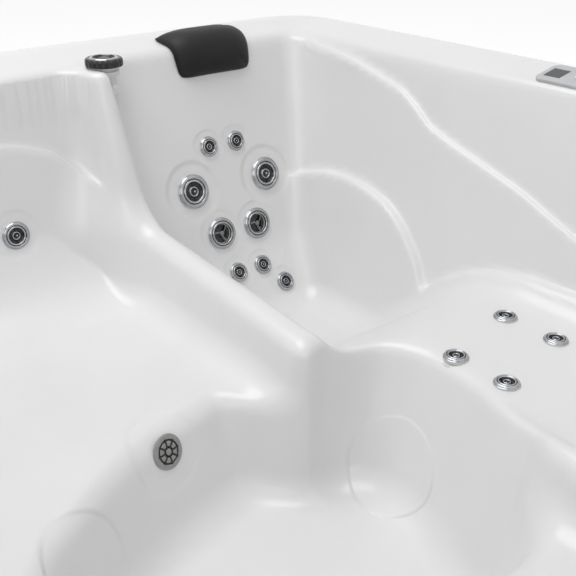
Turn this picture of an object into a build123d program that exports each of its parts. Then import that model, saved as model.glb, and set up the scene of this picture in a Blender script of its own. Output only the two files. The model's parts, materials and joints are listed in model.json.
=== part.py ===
"""Hot tub: a moulded shell with a lounger, three seats and a footwell, in a framed cabinet.

Millimetres, +Z up, +Y to the wall behind the lounger's head, +X to the lounger's side.
The origin is at the middle of the base, on the ground.
"""
import os
from math import cos, hypot, radians, sin, sqrt, tan

from build123d import *

os.makedirs("parts", exist_ok=True)

BASE = (Align.CENTER, Align.CENTER, Align.MIN)

# Overall sizes
tub_width = 2200
tub_length = 2200
rim_height = 900
corner_radius = 170
shell_wall = 8
running_gap = 0.3

# Rim and deck
rim_drop = 60
rim_flat = 60
deck_width = 200
deck_fall = 30
deck_level = rim_height - deck_fall
deck_slope = deck_fall / (deck_width - rim_flat)

# Basin above the seats
wall_draft = 9.5
arm_level = 450
basin_corner = 120
arm_rise = 58
arm_start = 345
arm_east = 800
arm_width = 72

# Lounger, measured inwards from the east and north edges
lounger_east = 200
lounger_head = 176
lounger_corner = 430
back_slope = 0.313
lumbar_depth = 575
lumbar_slope = 0.664
lounger_seat_level = 165
lounger_seat_end = 720
knee_distance = 1040
leg_level = 413
leg_width = 560
leg_end = tub_length - 550

# Seats
north_seat_level = 320
north_seat_width = 560
north_seat_front = 1120
west_seat_level = 300
west_seat_half = 420
south_seat_level = 340
south_seat_half = 330
seat_depth = 560

# Footwell: its floor corners as distance from the east edge and share of the distance to its south end
floor_level = 100
footwell_draft = 20
footwell_end = tub_length - 640
footwell_outline = [
    (855, 0.625),
    (1330, 0.6955),
    (1480, 0.779),
    (1480, 1.0),
    (870, 1.0),
    (765, 0.86),
    (800, 0.77),
]
footwell_corners = [(right, share * footwell_end) for right, share in footwell_outline]

# Control shelves between the seats
shelf_width = 240
shelf_reach = 295
shelf_foot_width = 76
shelf_foot_reach = 405
shelf_back = 120
north_shelf = 838
west_shelf = 620
south_shelf = 620

# Filter corner, at the south-west
filter_wall_reach = 724
filter_distance = 262
filter_can_radius = 108
filter_can_depth = 430
filter_can_wall = 6
filter_flange_radius = 120
filter_mouth_width = 180
filter_mouth_height = 120
filter_mouth_drop = 110
cartridge_radius = 62
cartridge_length = 235
cartridge_bore = 24
lid_radius = 112
lid_thickness = 10

# Cabinet
panel_thickness = 20
panel_inset = 16
panel_gap = 2
pan_wall = 6
trim_leg = 30
rail_depth = 45
rail_height = 60
corner_post_size = 100
stud_width = 60
stud_spacing = 460
screw_head_radius = 7
screw_radius = 3
screw_length = 45
screw_inset = 60
screw_edge = 20

# Controls
knob_radius = 48
knob_distance = 228
knob_height = 24
knob_scallops = 12
knob_scallop_radius = 7
knob_cap_share = 0.66
knob_dish_share = 0.5
knob_cap_height = 3
knob_dish_depth = 2
shaft_radius = 8
valve_radius = 28
valve_depth = 95
valve_flange = 3

# Fittings on the footwell's walls
disc_radius = 37
disc_level = 275
disc_along = 0.596
suction_radius = 55
suction_pipe_radius = 30
suction_offsets = (-140, -360)
light_radius = 55
light_level = 225
light_along = 0.5

# Pillows that lap over the basin's edge
pillow_width = 268
pillow_start = 92
pillow_drop = 78
pillow_thickness = 42
pillow_height = 175
pillow_corner = 42
pillow_middle = 472

# Panel on the east deck
keypad_length = 230
keypad_width = 90
keypad_thickness = 6
keypad_distance_north = 1130
keypad_distance_east = 105
button_radius = 10
button_spacing = 34
button_travel = 1.5
button_stem = 4

half_width = tub_width / 2
half_length = tub_length / 2
panel_inner = panel_inset + panel_thickness
panel_top = rim_height - rim_drop - panel_gap
deck_underside = deck_level - shell_wall
filter_mouth_level = deck_level - filter_mouth_drop
draft_slope = tan(radians(wall_draft))


def east(distance):
    """x of a place this far in from the east edge."""
    return half_width - distance


def north(distance):
    """y of a place this far in from the north edge."""
    return half_length - distance


def side_plane(side, along, level):
    """Level plane whose origin is on a side's outer edge and whose y runs inwards."""
    places = {
        "north": ((along, half_length, level), (-1, 0, 0)),
        "south": ((along, -half_length, level), (1, 0, 0)),
        "west": ((-half_width, along, level), (0, -1, 0)),
        "east": ((half_width, along, level), (0, 1, 0)),
    }
    origin, across = places[side]
    return Plane(origin=origin, x_dir=across, z_dir=(0, 0, 1))


def wall_plane(side, along, level):
    """Plane lying on a basin wall, facing the bather, at one height."""
    reach = deck_width + (deck_level - level) * draft_slope
    low, high = sin(radians(wall_draft)), cos(radians(wall_draft))
    places = {
        "north": ((along, half_length - reach, level), (-1, 0, 0), (0, -high, low)),
        "south": ((along, reach - half_length, level), (1, 0, 0), (0, high, low)),
        "west": ((reach - half_width, along, level), (0, -1, 0), (high, 0, low)),
    }
    origin, across, outwards = places[side]
    return Plane(origin=origin, x_dir=across, z_dir=outwards)


def step(radius, low, high, mode=Mode.ADD):
    """Disc between two heights of the plane in use."""
    with Locations((0, 0, low)):
        Cylinder(radius, high - low, align=BASE, mode=mode)


def block(x_low, x_high, y_low, y_high, z_low, z_high, mode=Mode.ADD):
    """Box between two corners."""
    with Locations(((x_low + x_high) / 2, (y_low + y_high) / 2, z_low)):
        Box(x_high - x_low, y_high - y_low, z_high - z_low, align=BASE, mode=mode)


def finish(part, name):
    """Label one sub-part and write it."""
    part.label = name
    export_step(part, f"parts/{name}.step")


# Points of the lounger's side profile, as distance from the north edge and height
lumbar_distance = lounger_head + back_slope * (lumbar_depth - deck_fall)
seat_drop = rim_height - lumbar_depth - lounger_seat_level
lounger_profile = [
    (lounger_head, deck_level + deck_fall / 2),
    (lounger_head, deck_level),
    (lumbar_distance, rim_height - lumbar_depth),
    (lumbar_distance + lumbar_slope * seat_drop, lounger_seat_level),
    (lounger_seat_end, lounger_seat_level),
    (knee_distance, leg_level),
]


def footwell_points():
    return [(east(right), north(back)) for right, back in footwell_corners]


def hollow(grow, top):
    """The space inside the basin up to one height, with every wall moved outwards by grow."""
    rise = top - arm_level + grow
    reach = deck_width + (deck_level - arm_level) * draft_slope
    spread = grow / cos(radians(wall_draft)) - grow * draft_slope
    foot = arm_level - grow
    column_top = rim_height + rim_drop
    with BuildPart() as space:
        with BuildSketch(Plane.XY.offset(foot)):
            RectangleRounded(
                tub_width - 2 * (reach - spread), tub_length - 2 * (reach - spread), basin_corner + spread
            )
        extrude(amount=rise, taper=-wall_draft)
        # The armrest between the lounger and the north seat stays solid
        with BuildSketch(Plane.YZ.offset(east(arm_east + arm_width - grow))):
            Polygon(
                (north(arm_start + grow), foot - 1),
                (north(arm_start + grow), arm_level + arm_rise - grow),
                (north(knee_distance), foot - 1),
                align=None,
            )
        extrude(amount=arm_width - 2 * grow, mode=Mode.SUBTRACT)
        # Filter corner
        corner = filter_wall_reach - grow * sqrt(2)
        with BuildSketch(Plane.XY.offset(foot - 1)):
            Polygon(
                (-half_width, -half_length),
                (corner - half_width, -half_length),
                (-half_width, corner - half_length),
                align=None,
            )
        extrude(amount=deck_level - grow - foot + 1, mode=Mode.SUBTRACT)
        # Lounger, from its back to the knee, with the corner beside its back left solid
        block(east(arm_east), half_width, north(lounger_corner), half_length, foot - 1, column_top, Mode.SUBTRACT)
        with BuildSketch(Plane.YZ.offset(east(arm_east + grow))):
            Polygon(
                *[(north(distance), level) for distance, level in lounger_profile],
                (north(knee_distance), deck_level + deck_fall / 2),
                align=None,
            )
            if grow:
                offset(amount=grow, kind=Kind.INTERSECTION, mode=Mode.REPLACE)
        extrude(amount=arm_east - lounger_east + 2 * grow)
        if grow:
            block(-half_width, half_width, -half_length, half_length, top, column_top, Mode.SUBTRACT)
        # Control shelves, each on a pier that narrows to an armrest
        for side, along in (
            ("north", east(north_shelf)),
            ("west", half_length - west_shelf),
            ("south", -half_width + south_shelf),
        ):
            with BuildSketch(side_plane(side, along, deck_level - grow)):
                with Locations((0, (shelf_back + shelf_reach - grow) / 2)):
                    Rectangle(shelf_width - 2 * grow, shelf_reach - grow - shelf_back)
            with BuildSketch(side_plane(side, along, foot - 1)):
                with Locations((0, (shelf_back + shelf_foot_reach - grow) / 2)):
                    Rectangle(shelf_foot_width - 2 * grow, shelf_foot_reach - grow - shelf_back)
            loft(ruled=True, mode=Mode.SUBTRACT)
        # Leg rest
        block(east(lounger_east + leg_width + grow), east(lounger_east - 10 - grow),
              north(leg_end + grow), north(knee_distance - 20), leg_level - grow, arm_level + 20)
        # The east wall carries on down to the lounger's seat at its own lean
        wall_foot = half_width - (reach - spread) - foot * draft_slope
        with BuildSketch(Plane.XZ.offset(-half_length)):
            Polygon(
                (wall_foot, 0),
                (wall_foot + column_top * draft_slope, column_top),
                (half_width, column_top),
                (half_width, 0),
                align=None,
            )
        extrude(amount=tub_length, mode=Mode.SUBTRACT)
        # Seats
        seat_top = arm_level + 10
        north_x = east(arm_east + arm_width - grow)
        back = reach - grow
        block(north_x - north_seat_width - 2 * grow, north_x, north(north_seat_front + grow),
              north(back), north_seat_level - grow, seat_top)
        block(back - half_width, back - half_width + seat_depth, -west_seat_half - grow,
              west_seat_half + grow, west_seat_level - grow, seat_top)
        block(-south_seat_half - grow, south_seat_half + grow, back - half_length,
              back - half_length + seat_depth, south_seat_level - grow, seat_top)
        # Footwell
        with BuildSketch(Plane.XY.offset(floor_level - grow)):
            Polygon(*footwell_points(), align=None)
            if grow:
                lean = radians(footwell_draft)
                offset(amount=grow / cos(lean) - grow * tan(lean), kind=Kind.INTERSECTION, mode=Mode.REPLACE)
        extrude(amount=arm_level + 20 - floor_level + grow, taper=-footwell_draft)
    return space.part


basin_outside = hollow(shell_wall, deck_underside + shell_wall / 2)
basin_inside = hollow(0, deck_level)

with BuildPart() as deck_cut:
    with BuildSketch(Plane.XY.offset(deck_level)):
        RectangleRounded(tub_width - 2 * deck_width, tub_length - 2 * deck_width, corner_radius - rim_flat)
    with BuildSketch(Plane.XY.offset(rim_height)):
        RectangleRounded(tub_width - 2 * rim_flat, tub_length - 2 * rim_flat, corner_radius - rim_flat)
    loft(ruled=True)

# Jets: outer radius, hole radius in the shell
jet_small = (31.5, 19)
jet_leg = (30, 19)
jet_seat = (38, 24)
jet_large = (51, 33)
jet_spinning = (48, 31)
jet_flange = 3
jet_wall = 4
jet_length = 62
jet_port_radius = 11
jet_port_length = 24
face_rise = 3
nut_depth = 9

lounger_middle = 497
back_rows = {
    "back_upper": (46, 283, jet_small),
    "back_large": (124, 388, jet_large),
    "back_spinning": (62, 515, jet_spinning),
    "lumbar_upper": (43, 624, jet_small),
    "lumbar_lower": (97, 680, jet_small),
}
leg_jets = {
    "leg_east_upper": (387, 1190),
    "leg_east_lower": (387, 1325),
    "leg_west_upper": (607, 1239),
    "leg_west_lower": (607, 1370),
}
seat_jet_level = 505
seat_jet_spread = 115
north_seat_middle = 1239

# Footwell fittings
fitting_length = 60

# Equipment
header_level = 150
header_distance = 400
wet_end_length = 110
wet_end_radius = 95
motor_length = 310
motor_radius = 83
pump_foot_width = 150
outlet_length = 45
heater_length = 360
heater_run = 185
heater_radius = 36
heater_distance = 150
heater_gap = 100
manifold_distance = 200
manifold_length = 600
manifold_ports = 8
manifold_port_radius = 12
air_manifold_distance = 115
air_manifold_radius = 16
air_manifold_level = 250
hose_bend = 80
saddle_width = 30
outlet_level = 110
drain_place = -600
drain_radius = 14
gland_place = -530
gland_radius = 11


def back_plane(offset_x, depth):
    """Plane on the lounger's back, facing the bather, at a depth below the rim."""
    if depth <= lumbar_depth:
        distance = lounger_head + back_slope * (depth - deck_fall)
        slope = back_slope
    else:
        distance = lumbar_distance + lumbar_slope * (depth - lumbar_depth)
        slope = lumbar_slope
    origin = (east(lounger_middle) + offset_x, north(distance), rim_height - depth)
    return Plane(origin=origin, x_dir=(-1, 0, 0), z_dir=(0, -1, slope))


def footwell_plane(index, fraction, level):
    """Plane on one wall of the footwell, facing inwards, a fraction of the way along it."""
    points = footwell_points()
    start = points[index]
    end = points[(index + 1) % len(points)]
    run = hypot(end[0] - start[0], end[1] - start[1])
    across = ((end[0] - start[0]) / run, (end[1] - start[1]) / run)
    lean = tan(radians(footwell_draft))
    out = (level - floor_level) * lean
    x = start[0] + across[0] * run * fraction + across[1] * out
    y = start[1] + across[1] * run * fraction - across[0] * out
    return Plane(origin=(x, y, level), x_dir=(*across, 0), z_dir=(-across[1], across[0], lean))


# Every jet with a turning face: name, its plane on the shell and its kind
turning_jets = {}
for row, (spread, depth, kind) in back_rows.items():
    turning_jets[f"{row}_east"] = (back_plane(spread, depth), kind)
    turning_jets[f"{row}_west"] = (back_plane(-spread, depth), kind)
for place, (right, back) in leg_jets.items():
    plane = Plane(origin=(east(right), north(back), leg_level), x_dir=(1, 0, 0), z_dir=(0, 0, 1))
    turning_jets[place] = (plane, jet_leg)
for place, offset_x in (("east", seat_jet_spread), ("west", -seat_jet_spread)):
    plane = wall_plane("north", east(north_seat_middle) + offset_x, seat_jet_level)
    turning_jets[f"north_seat_{place}"] = (plane, jet_seat)

# Fixed jets of the west and south seats
fixed_jets = [
    wall_plane(side, offset, seat_jet_level)
    for side in ("west", "south")
    for offset in (-seat_jet_spread, seat_jet_spread)
]

all_jets = list(turning_jets.values()) + [(plane, jet_seat) for plane in fixed_jets]

control_places = {
    "air_control": side_plane("north", east(north_shelf - 13), deck_level),
    "water_diverter": side_plane("west", half_length - west_shelf, deck_level),
    "second_air_control": side_plane("south", -half_width + south_shelf, deck_level),
}
control_planes = {}
for place, plane in control_places.items():
    shifted = plane.origin + plane.y_dir * knob_distance
    control_planes[place] = Plane(origin=shifted, x_dir=plane.x_dir, z_dir=(0, 0, 1))

# The equipment stands in a row that starts at the manifold by the east side
manifold_x = east(manifold_distance)
heater_end = manifold_x - heater_gap
heater_start = heater_end - heater_length
outlet_x = heater_start - heater_run
pump_x = outlet_x - wet_end_length / 2
suction_places = [pump_x + offset for offset in suction_offsets]

disc_plane = footwell_plane(0, disc_along, disc_level)
light_plane = footwell_plane(2, light_along, light_level)

# The suction fittings lean with the footwell's wall, so their level is set to meet the header
south_wall = north(footwell_corners[3][1])
header_y = -half_length + header_distance
lean = tan(radians(footwell_draft))
suction_level = (header_level + (south_wall - header_y) * lean + floor_level * lean * lean) / (1 + lean * lean)
south_edge = footwell_points()[4][0] - footwell_points()[3][0]
suction_planes = [
    footwell_plane(3, (x - footwell_points()[3][0]) / south_edge, suction_level) for x in suction_places
]

# Filter: a can under the corner deck and a mouth in the corner's diagonal wall
filter_x = -half_width + filter_distance
filter_y = -half_length + filter_distance
filter_plane = Plane(origin=(filter_x, filter_y, deck_level), x_dir=(1, 0, 0), z_dir=(0, 0, 1))
mouth_plane = Plane(
    origin=(filter_wall_reach / 2 - half_width, filter_wall_reach / 2 - half_length, filter_mouth_level),
    x_dir=(-1, 1, 0),
    z_dir=(1, 1, 0),
)
mouth_distance = (filter_wall_reach / 2 - filter_distance) * sqrt(2)

# Keypad on the sloping east deck
keypad_level = rim_height - (keypad_distance_east - rim_flat) * deck_slope
keypad_plane = Plane(
    origin=(east(keypad_distance_east), north(keypad_distance_north), keypad_level),
    x_dir=(0, -1, 0),
    z_dir=(-deck_slope, 0, 1),
)

with BuildPart() as deck_cut:
    with BuildSketch(Plane.XY.offset(deck_level)):
        RectangleRounded(tub_width - 2 * deck_width, tub_length - 2 * deck_width, corner_radius - rim_flat)
    with BuildSketch(Plane.XY.offset(rim_height)):
        RectangleRounded(tub_width - 2 * rim_flat, tub_length - 2 * rim_flat, corner_radius - rim_flat)
    loft(ruled=True)


def bore(planes, radius, length):
    """Round holes that run one length to either side of each plane."""
    with Locations(*planes):
        Cylinder(radius, 2 * length, mode=Mode.SUBTRACT)


with BuildPart() as shell:
    with BuildSketch(Plane.XY.offset(rim_height - rim_drop)):
        RectangleRounded(tub_width, tub_length, corner_radius)
    extrude(amount=rim_drop)
    with BuildSketch(Plane.XY.offset(rim_height - rim_drop)):
        RectangleRounded(tub_width - 2 * shell_wall, tub_length - 2 * shell_wall, corner_radius - shell_wall)
    extrude(amount=deck_underside - rim_height + rim_drop, mode=Mode.SUBTRACT)
    add(hollow(shell_wall, deck_underside + shell_wall / 2))
    add(hollow(0, deck_level), mode=Mode.SUBTRACT)
    add(deck_cut.part, mode=Mode.SUBTRACT)
    for kind in (jet_small, jet_leg, jet_seat, jet_large, jet_spinning):
        bore([plane for plane, size in all_jets if size is kind], kind[1], 2 * shell_wall)
    bore(control_planes.values(), valve_radius + running_gap, 2 * shell_wall)
    bore(suction_planes, suction_pipe_radius + running_gap, 2 * shell_wall)
    bore([disc_plane], disc_radius - 8, 2 * shell_wall)
    bore([light_plane], light_radius - 12, 2 * shell_wall)
    bore([filter_plane], filter_can_radius + running_gap, 2 * shell_wall)
    with Locations(filter_plane):
        Cylinder(filter_flange_radius + 2, deck_fall, align=BASE, mode=Mode.SUBTRACT)
    with Locations(*control_planes.values()):
        Cylinder(knob_radius + 4, deck_fall, align=BASE, mode=Mode.SUBTRACT)
    with BuildSketch(mouth_plane):
        Rectangle(
            filter_mouth_width + 2 * (filter_can_wall + running_gap),
            filter_mouth_height + 2 * (filter_can_wall + running_gap),
        )
    extrude(amount=2 * shell_wall, both=True, mode=Mode.SUBTRACT)
finish(shell.part, "shell")

# Cabinet
with BuildPart() as base_pan:
    with BuildSketch():
        RectangleRounded(
            tub_width - 2 * (panel_inner + 1), tub_length - 2 * (panel_inner + 1), corner_radius - panel_inner - 1
        )
    extrude(amount=pan_wall)
finish(base_pan.part, "base_pan")

rail_start = corner_radius
post_near = panel_inner + rail_depth
post_far = post_near + corner_post_size


def side_length(side):
    return tub_width if side in ("north", "south") else tub_length


def side_middle(side, level, inward):
    """Level plane at the middle of a side, a distance in from its edge, with y running inwards."""
    plane = side_plane(side, 0, level)
    return Plane(origin=plane.origin + plane.y_dir * inward, x_dir=plane.x_dir, z_dir=(0, 0, 1))


def stud_offsets(side):
    count = int((side_length(side) - 2 * post_far - stud_width) // stud_spacing)
    return [(index - (count - 1) / 2) * stud_spacing for index in range(count)]


def screw_planes(side):
    """Places of a panel's screws, on its outer face with z pointing out."""
    planes = []
    reach = side_length(side) / 2 - corner_radius - trim_leg - screw_inset
    for level in (pan_wall + rail_height / 2, panel_top - screw_edge):
        for offset in (-reach, 0, reach):
            flat = side_plane(side, 0, level)
            place = flat.origin + flat.y_dir * panel_inset + flat.x_dir * offset
            planes.append(Plane(origin=place, x_dir=flat.x_dir, z_dir=-flat.y_dir))
    return planes


SIDES = ("north", "south", "west", "east")
top_rail_level = deck_underside - rail_height
with BuildPart() as frame_rails:
    for side in SIDES:
        for level in (pan_wall, top_rail_level):
            with BuildSketch(side_middle(side, level, panel_inner + rail_depth / 2)):
                Rectangle(side_length(side) - 2 * rail_start, rail_depth)
            extrude(amount=rail_height)
        bore(screw_planes(side), screw_radius + running_gap, screw_length + 1)
finish(frame_rails.part, "frame_rails")

with BuildPart() as frame_posts:
    for x_sign in (-1, 1):
        for y_sign in (-1, 1):
            middle = (post_near + post_far) / 2
            with Locations((x_sign * (half_width - middle), y_sign * (half_length - middle), pan_wall)):
                Box(corner_post_size, corner_post_size, deck_underside - pan_wall, align=BASE)
    for side in SIDES:
        with BuildSketch(side_middle(side, pan_wall + rail_height, panel_inner + rail_depth / 2)):
            with Locations(*[(offset, 0) for offset in stud_offsets(side)]):
                Rectangle(stud_width, rail_depth)
        extrude(amount=top_rail_level - pan_wall - rail_height)
finish(frame_posts.part, "frame_posts")

with BuildPart() as corner_trims:
    trim_outer = corner_radius - panel_inset
    for x_sign in (-1, 1):
        for y_sign in (-1, 1):
            centre = (x_sign * (half_width - corner_radius), y_sign * (half_length - corner_radius))
            with BuildSketch(Plane.XY.offset(pan_wall)):
                with Locations(centre):
                    Circle(trim_outer)
                    Circle(trim_outer - panel_thickness, mode=Mode.SUBTRACT)
                with Locations((centre[0] - x_sign * trim_outer, centre[1])):
                    Rectangle(2 * trim_outer, 4 * trim_outer, mode=Mode.SUBTRACT)
                with Locations((centre[0], centre[1] - y_sign * trim_outer)):
                    Rectangle(4 * trim_outer, 2 * trim_outer, mode=Mode.SUBTRACT)
                across = trim_outer - panel_thickness / 2
                with Locations((centre[0] + x_sign * across, centre[1] - y_sign * trim_leg / 2)):
                    Rectangle(panel_thickness, trim_leg)
                with Locations((centre[0] - x_sign * trim_leg / 2, centre[1] + y_sign * across)):
                    Rectangle(trim_leg, panel_thickness)
            extrude(amount=panel_top - pan_wall)
finish(corner_trims.part, "corner_trims")

drain_plane = Plane(origin=(-half_width + panel_inset, drain_place, outlet_level), x_dir=(0, -1, 0), z_dir=(-1, 0, 0))
gland_plane = Plane(origin=(-half_width + panel_inset, gland_place, outlet_level), x_dir=(0, -1, 0), z_dir=(-1, 0, 0))
panel_names = {"north": "rear_panel", "south": "front_panel", "west": "left_panel", "east": "right_panel"}
for side, name in panel_names.items():
    with BuildPart() as panel:
        with BuildSketch(side_middle(side, pan_wall, panel_inset + panel_thickness / 2)):
            Rectangle(side_length(side) - 2 * (corner_radius + trim_leg + 1), panel_thickness)
        extrude(amount=panel_top - pan_wall)
        bore(screw_planes(side), screw_radius + running_gap, 2 * panel_thickness)
        if side == "west":
            bore([drain_plane], drain_radius + running_gap, 2 * panel_thickness)
            bore([gland_plane], gland_radius + running_gap, 2 * panel_thickness)
    finish(panel.part, name)

for name, sides in (("panel_screws", ("north", "west", "east")), ("front_panel_screws", ("south",))):
    with BuildPart() as screws:
        for side in sides:
            for plane in screw_planes(side):
                with BuildSketch(plane):
                    Circle(screw_head_radius)
                extrude(amount=4)
                with BuildSketch(plane):
                    Circle(screw_radius)
                extrude(amount=-screw_length)
    finish(screws.part, name)

# Jet bodies behind the shell, with their nuts
with BuildPart() as jet_bodies:
    for plane, kind in all_jets:
        outer, hole = kind
        barrel = hole - running_gap
        with BuildSketch(plane):
            Circle(outer - 3)
        extrude(amount=jet_flange)
        with BuildSketch(plane):
            Circle(barrel)
        extrude(amount=-jet_length)
        with BuildSketch(plane.offset(jet_flange)):
            Circle(barrel - jet_wall)
        extrude(amount=-jet_length, mode=Mode.SUBTRACT)
        port = Plane(origin=plane.origin - plane.z_dir * (jet_length - 16), x_dir=plane.x_dir, z_dir=plane.y_dir)
        with BuildSketch(port.offset(barrel - 2)):
            Circle(jet_port_radius)
        extrude(amount=jet_port_length)
        with BuildSketch(plane.offset(-shell_wall)):
            Circle(hole + 10)
            Circle(hole + running_gap, mode=Mode.SUBTRACT)
        extrude(amount=-nut_depth)
finish(jet_bodies.part, "jet_bodies")


def jet_face(plane, kind):
    """Stepped bezel and nozzle of a jet, with a spigot that turns in the jet's body."""
    outer, hole = kind
    spigot = hole - running_gap - jet_wall - running_gap
    with BuildPart(plane) as face:
        step(outer, jet_flange + running_gap, jet_flange + running_gap + face_rise)
        step(outer * 0.86, face_rise, 3 * face_rise)
        step(spigot, -20, face_rise + 1)
        step(outer * 0.66, 2 * face_rise, 4 * face_rise, Mode.SUBTRACT)
        step(outer * 0.4, face_rise, 3.4 * face_rise)
        with Locations((0, outer * 0.05, -20)):
            Cylinder(outer * 0.2, 40, align=BASE, mode=Mode.SUBTRACT)
        with PolarLocations(outer * 0.98, 3):
            Cylinder(outer * 0.12, 20, mode=Mode.SUBTRACT)
    return face.part


def jet_rotor(plane, kind):
    """Spinning nozzle carrier with three vanes, on a pin in the jet's body."""
    outer, hole = kind
    inside = outer * 0.62
    with BuildPart(plane) as rotor:
        step(hole - running_gap - jet_wall - running_gap, -20, jet_flange)
        step(inside * 0.3, jet_flange, jet_flange + 7)
        with PolarLocations(inside * 0.55, 3):
            with Locations((0, 0, jet_flange)):
                Box(inside * 0.7, 5, 5, align=BASE)
        with PolarLocations(inside * 0.45, 3, start_angle=60):
            Cylinder(3, 60, mode=Mode.SUBTRACT)
    return rotor.part


for name, (plane, kind) in turning_jets.items():
    if kind is jet_spinning:
        finish(jet_rotor(plane, kind), f"{name}_rotor")
    else:
        finish(jet_face(plane, kind), f"{name}_jet")

# Faces that don't turn: the rings round the spinning jets and the hidden seats' fixed faces
with BuildPart() as fixed_jet_faces:
    for plane in fixed_jets:
        add(jet_face(plane, jet_seat))
    for plane, kind in turning_jets.values():
        if kind is jet_spinning:
            outer = kind[0]
            with BuildSketch(plane.offset(jet_flange)):
                Circle(outer)
                Circle(outer * 0.66, mode=Mode.SUBTRACT)
            extrude(amount=face_rise)
            with BuildSketch(plane.offset(jet_flange)):
                Circle(outer * 0.86)
                Circle(outer * 0.66, mode=Mode.SUBTRACT)
            extrude(amount=2 * face_rise)
finish(fixed_jet_faces.part, "fixed_jet_faces")

# Air controls and water diverter: a valve through the shelf and a scalloped knob on its shaft
with BuildPart() as control_valves:
    for plane in control_planes.values():
        with Locations(plane):
            Cylinder(valve_radius + 12, valve_flange, align=BASE)
        with Locations(plane.offset(-valve_depth)):
            Cylinder(valve_radius, valve_depth, align=BASE)
        with Locations(plane.offset(-shell_wall - nut_depth)):
            Cylinder(valve_radius + 9, nut_depth, align=BASE)
        with Locations(plane.offset(-valve_depth / 2)):
            Cylinder(jet_port_radius, 2 * valve_radius + 50, rotation=(90, 0, 0))
        with Locations(plane.offset(valve_flange - 30)):
            Cylinder(shaft_radius + running_gap, 40, align=BASE, mode=Mode.SUBTRACT)
finish(control_valves.part, "control_valves")

for place, plane in control_planes.items():
    base = valve_flange + running_gap
    with BuildPart(plane) as knob:
        step(knob_radius, base, base + knob_height)
        with PolarLocations(knob_radius + 1, knob_scallops):
            with Locations((0, 0, base)):
                Cylinder(knob_scallop_radius, 2 * knob_height, mode=Mode.SUBTRACT)
        step(knob_radius * knob_cap_share, base + knob_height, base + knob_height + knob_cap_height)
        dish = base + knob_height - knob_dish_depth
        step(knob_radius * knob_dish_share, dish, base + knob_height + knob_cap_height, Mode.SUBTRACT)
        step(shaft_radius, valve_flange - 25, base + 2)
    finish(knob.part, f"{place}_knob")

# Keypad: bezel, display window and four sprung buttons
button_offsets = [(index - 1.5) * button_spacing + keypad_length / 8 for index in range(4)]
window_length = 44
window_offset = -keypad_length / 2 + window_length / 2 + 12
with BuildPart(keypad_plane) as keypad_bezel:
    Box(keypad_length, keypad_width, keypad_thickness, align=BASE)
    fillet(keypad_bezel.edges().filter_by(Axis(keypad_plane.origin, keypad_plane.z_dir)), 18)
    with Locations(*[(offset, 0, keypad_thickness - button_stem) for offset in button_offsets]):
        Cylinder(button_radius + running_gap, 2 * button_stem, align=BASE, mode=Mode.SUBTRACT)
    with Locations((window_offset, 0, keypad_thickness - 2)):
        Box(window_length, keypad_width / 2, 4, align=BASE, mode=Mode.SUBTRACT)
finish(keypad_bezel.part, "keypad_bezel")

with BuildPart(keypad_plane) as display_window:
    with Locations((window_offset, 0, keypad_thickness - 2)):
        Box(window_length - 2 * running_gap, keypad_width / 2 - 2 * running_gap, 2.4, align=BASE)
finish(display_window.part, "display_window")

button_names = ("pump_button", "light_button", "warmer_button", "cooler_button")
for name, offset in zip(button_names, button_offsets):
    with BuildPart(keypad_plane) as button:
        with Locations((offset, 0, keypad_thickness - button_stem + button_travel + running_gap)):
            Cylinder(button_radius, button_stem, align=BASE)
    finish(button.part, name)

# Filter housing: can, mouth duct and their flanges
duct_width = filter_mouth_width + 2 * filter_can_wall
duct_height = filter_mouth_height + 2 * filter_can_wall
can_inner = filter_can_radius - filter_can_wall
flange_thickness = 4
outlet_radius = 28
can_floor = deck_level - filter_can_depth
duct_plane = mouth_plane.offset(-mouth_distance)
with BuildPart() as filter_housing:
    with Locations((filter_x, filter_y, can_floor)):
        Cylinder(filter_can_radius, filter_can_depth, align=BASE)
    with Locations((filter_x, filter_y, deck_level)):
        Cylinder(filter_flange_radius, flange_thickness, align=BASE)
    with Locations((filter_x, filter_y, can_floor - 40)):
        Cylinder(outlet_radius + 4, 40, align=BASE)
    with BuildSketch(duct_plane):
        Rectangle(duct_width, duct_height)
    extrude(amount=mouth_distance)
    with BuildSketch(mouth_plane):
        RectangleRounded(duct_width + 30, duct_height + 30, 12)
    extrude(amount=flange_thickness)
    with Locations((filter_x, filter_y, can_floor + filter_can_wall)):
        Cylinder(can_inner, filter_can_depth, align=BASE, mode=Mode.SUBTRACT)
    with Locations((filter_x, filter_y, can_floor - 50)):
        Cylinder(outlet_radius, 80, align=BASE, mode=Mode.SUBTRACT)
    with BuildSketch(duct_plane):
        Rectangle(filter_mouth_width, filter_mouth_height)
    extrude(amount=mouth_distance + 2 * flange_thickness, mode=Mode.SUBTRACT)
finish(filter_housing.part, "filter_housing")

# Weir: a flap standing in the mouth, hinged along its lower edge
weir_thickness = 8
weir_clearance = 3
weir_axis = mouth_plane.offset(-2 * weir_thickness)
weir_pivot = -filter_mouth_height / 2 + weir_thickness / 2 + weir_clearance
with BuildPart() as weir_door:
    with Locations(weir_axis):
        with Locations((0, weir_clearance / 2, 0)):
            Box(filter_mouth_width - 2 * weir_clearance, filter_mouth_height - 3 * weir_clearance, weir_thickness)
    with Locations(weir_axis):
        with Locations((0, weir_pivot, 0)):
            Cylinder(weir_thickness / 2, filter_mouth_width - 1, rotation=(0, 90, 0))
finish(weir_door.part, "weir_door")
weir_origin = weir_axis.origin + weir_axis.y_dir * weir_pivot

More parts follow.
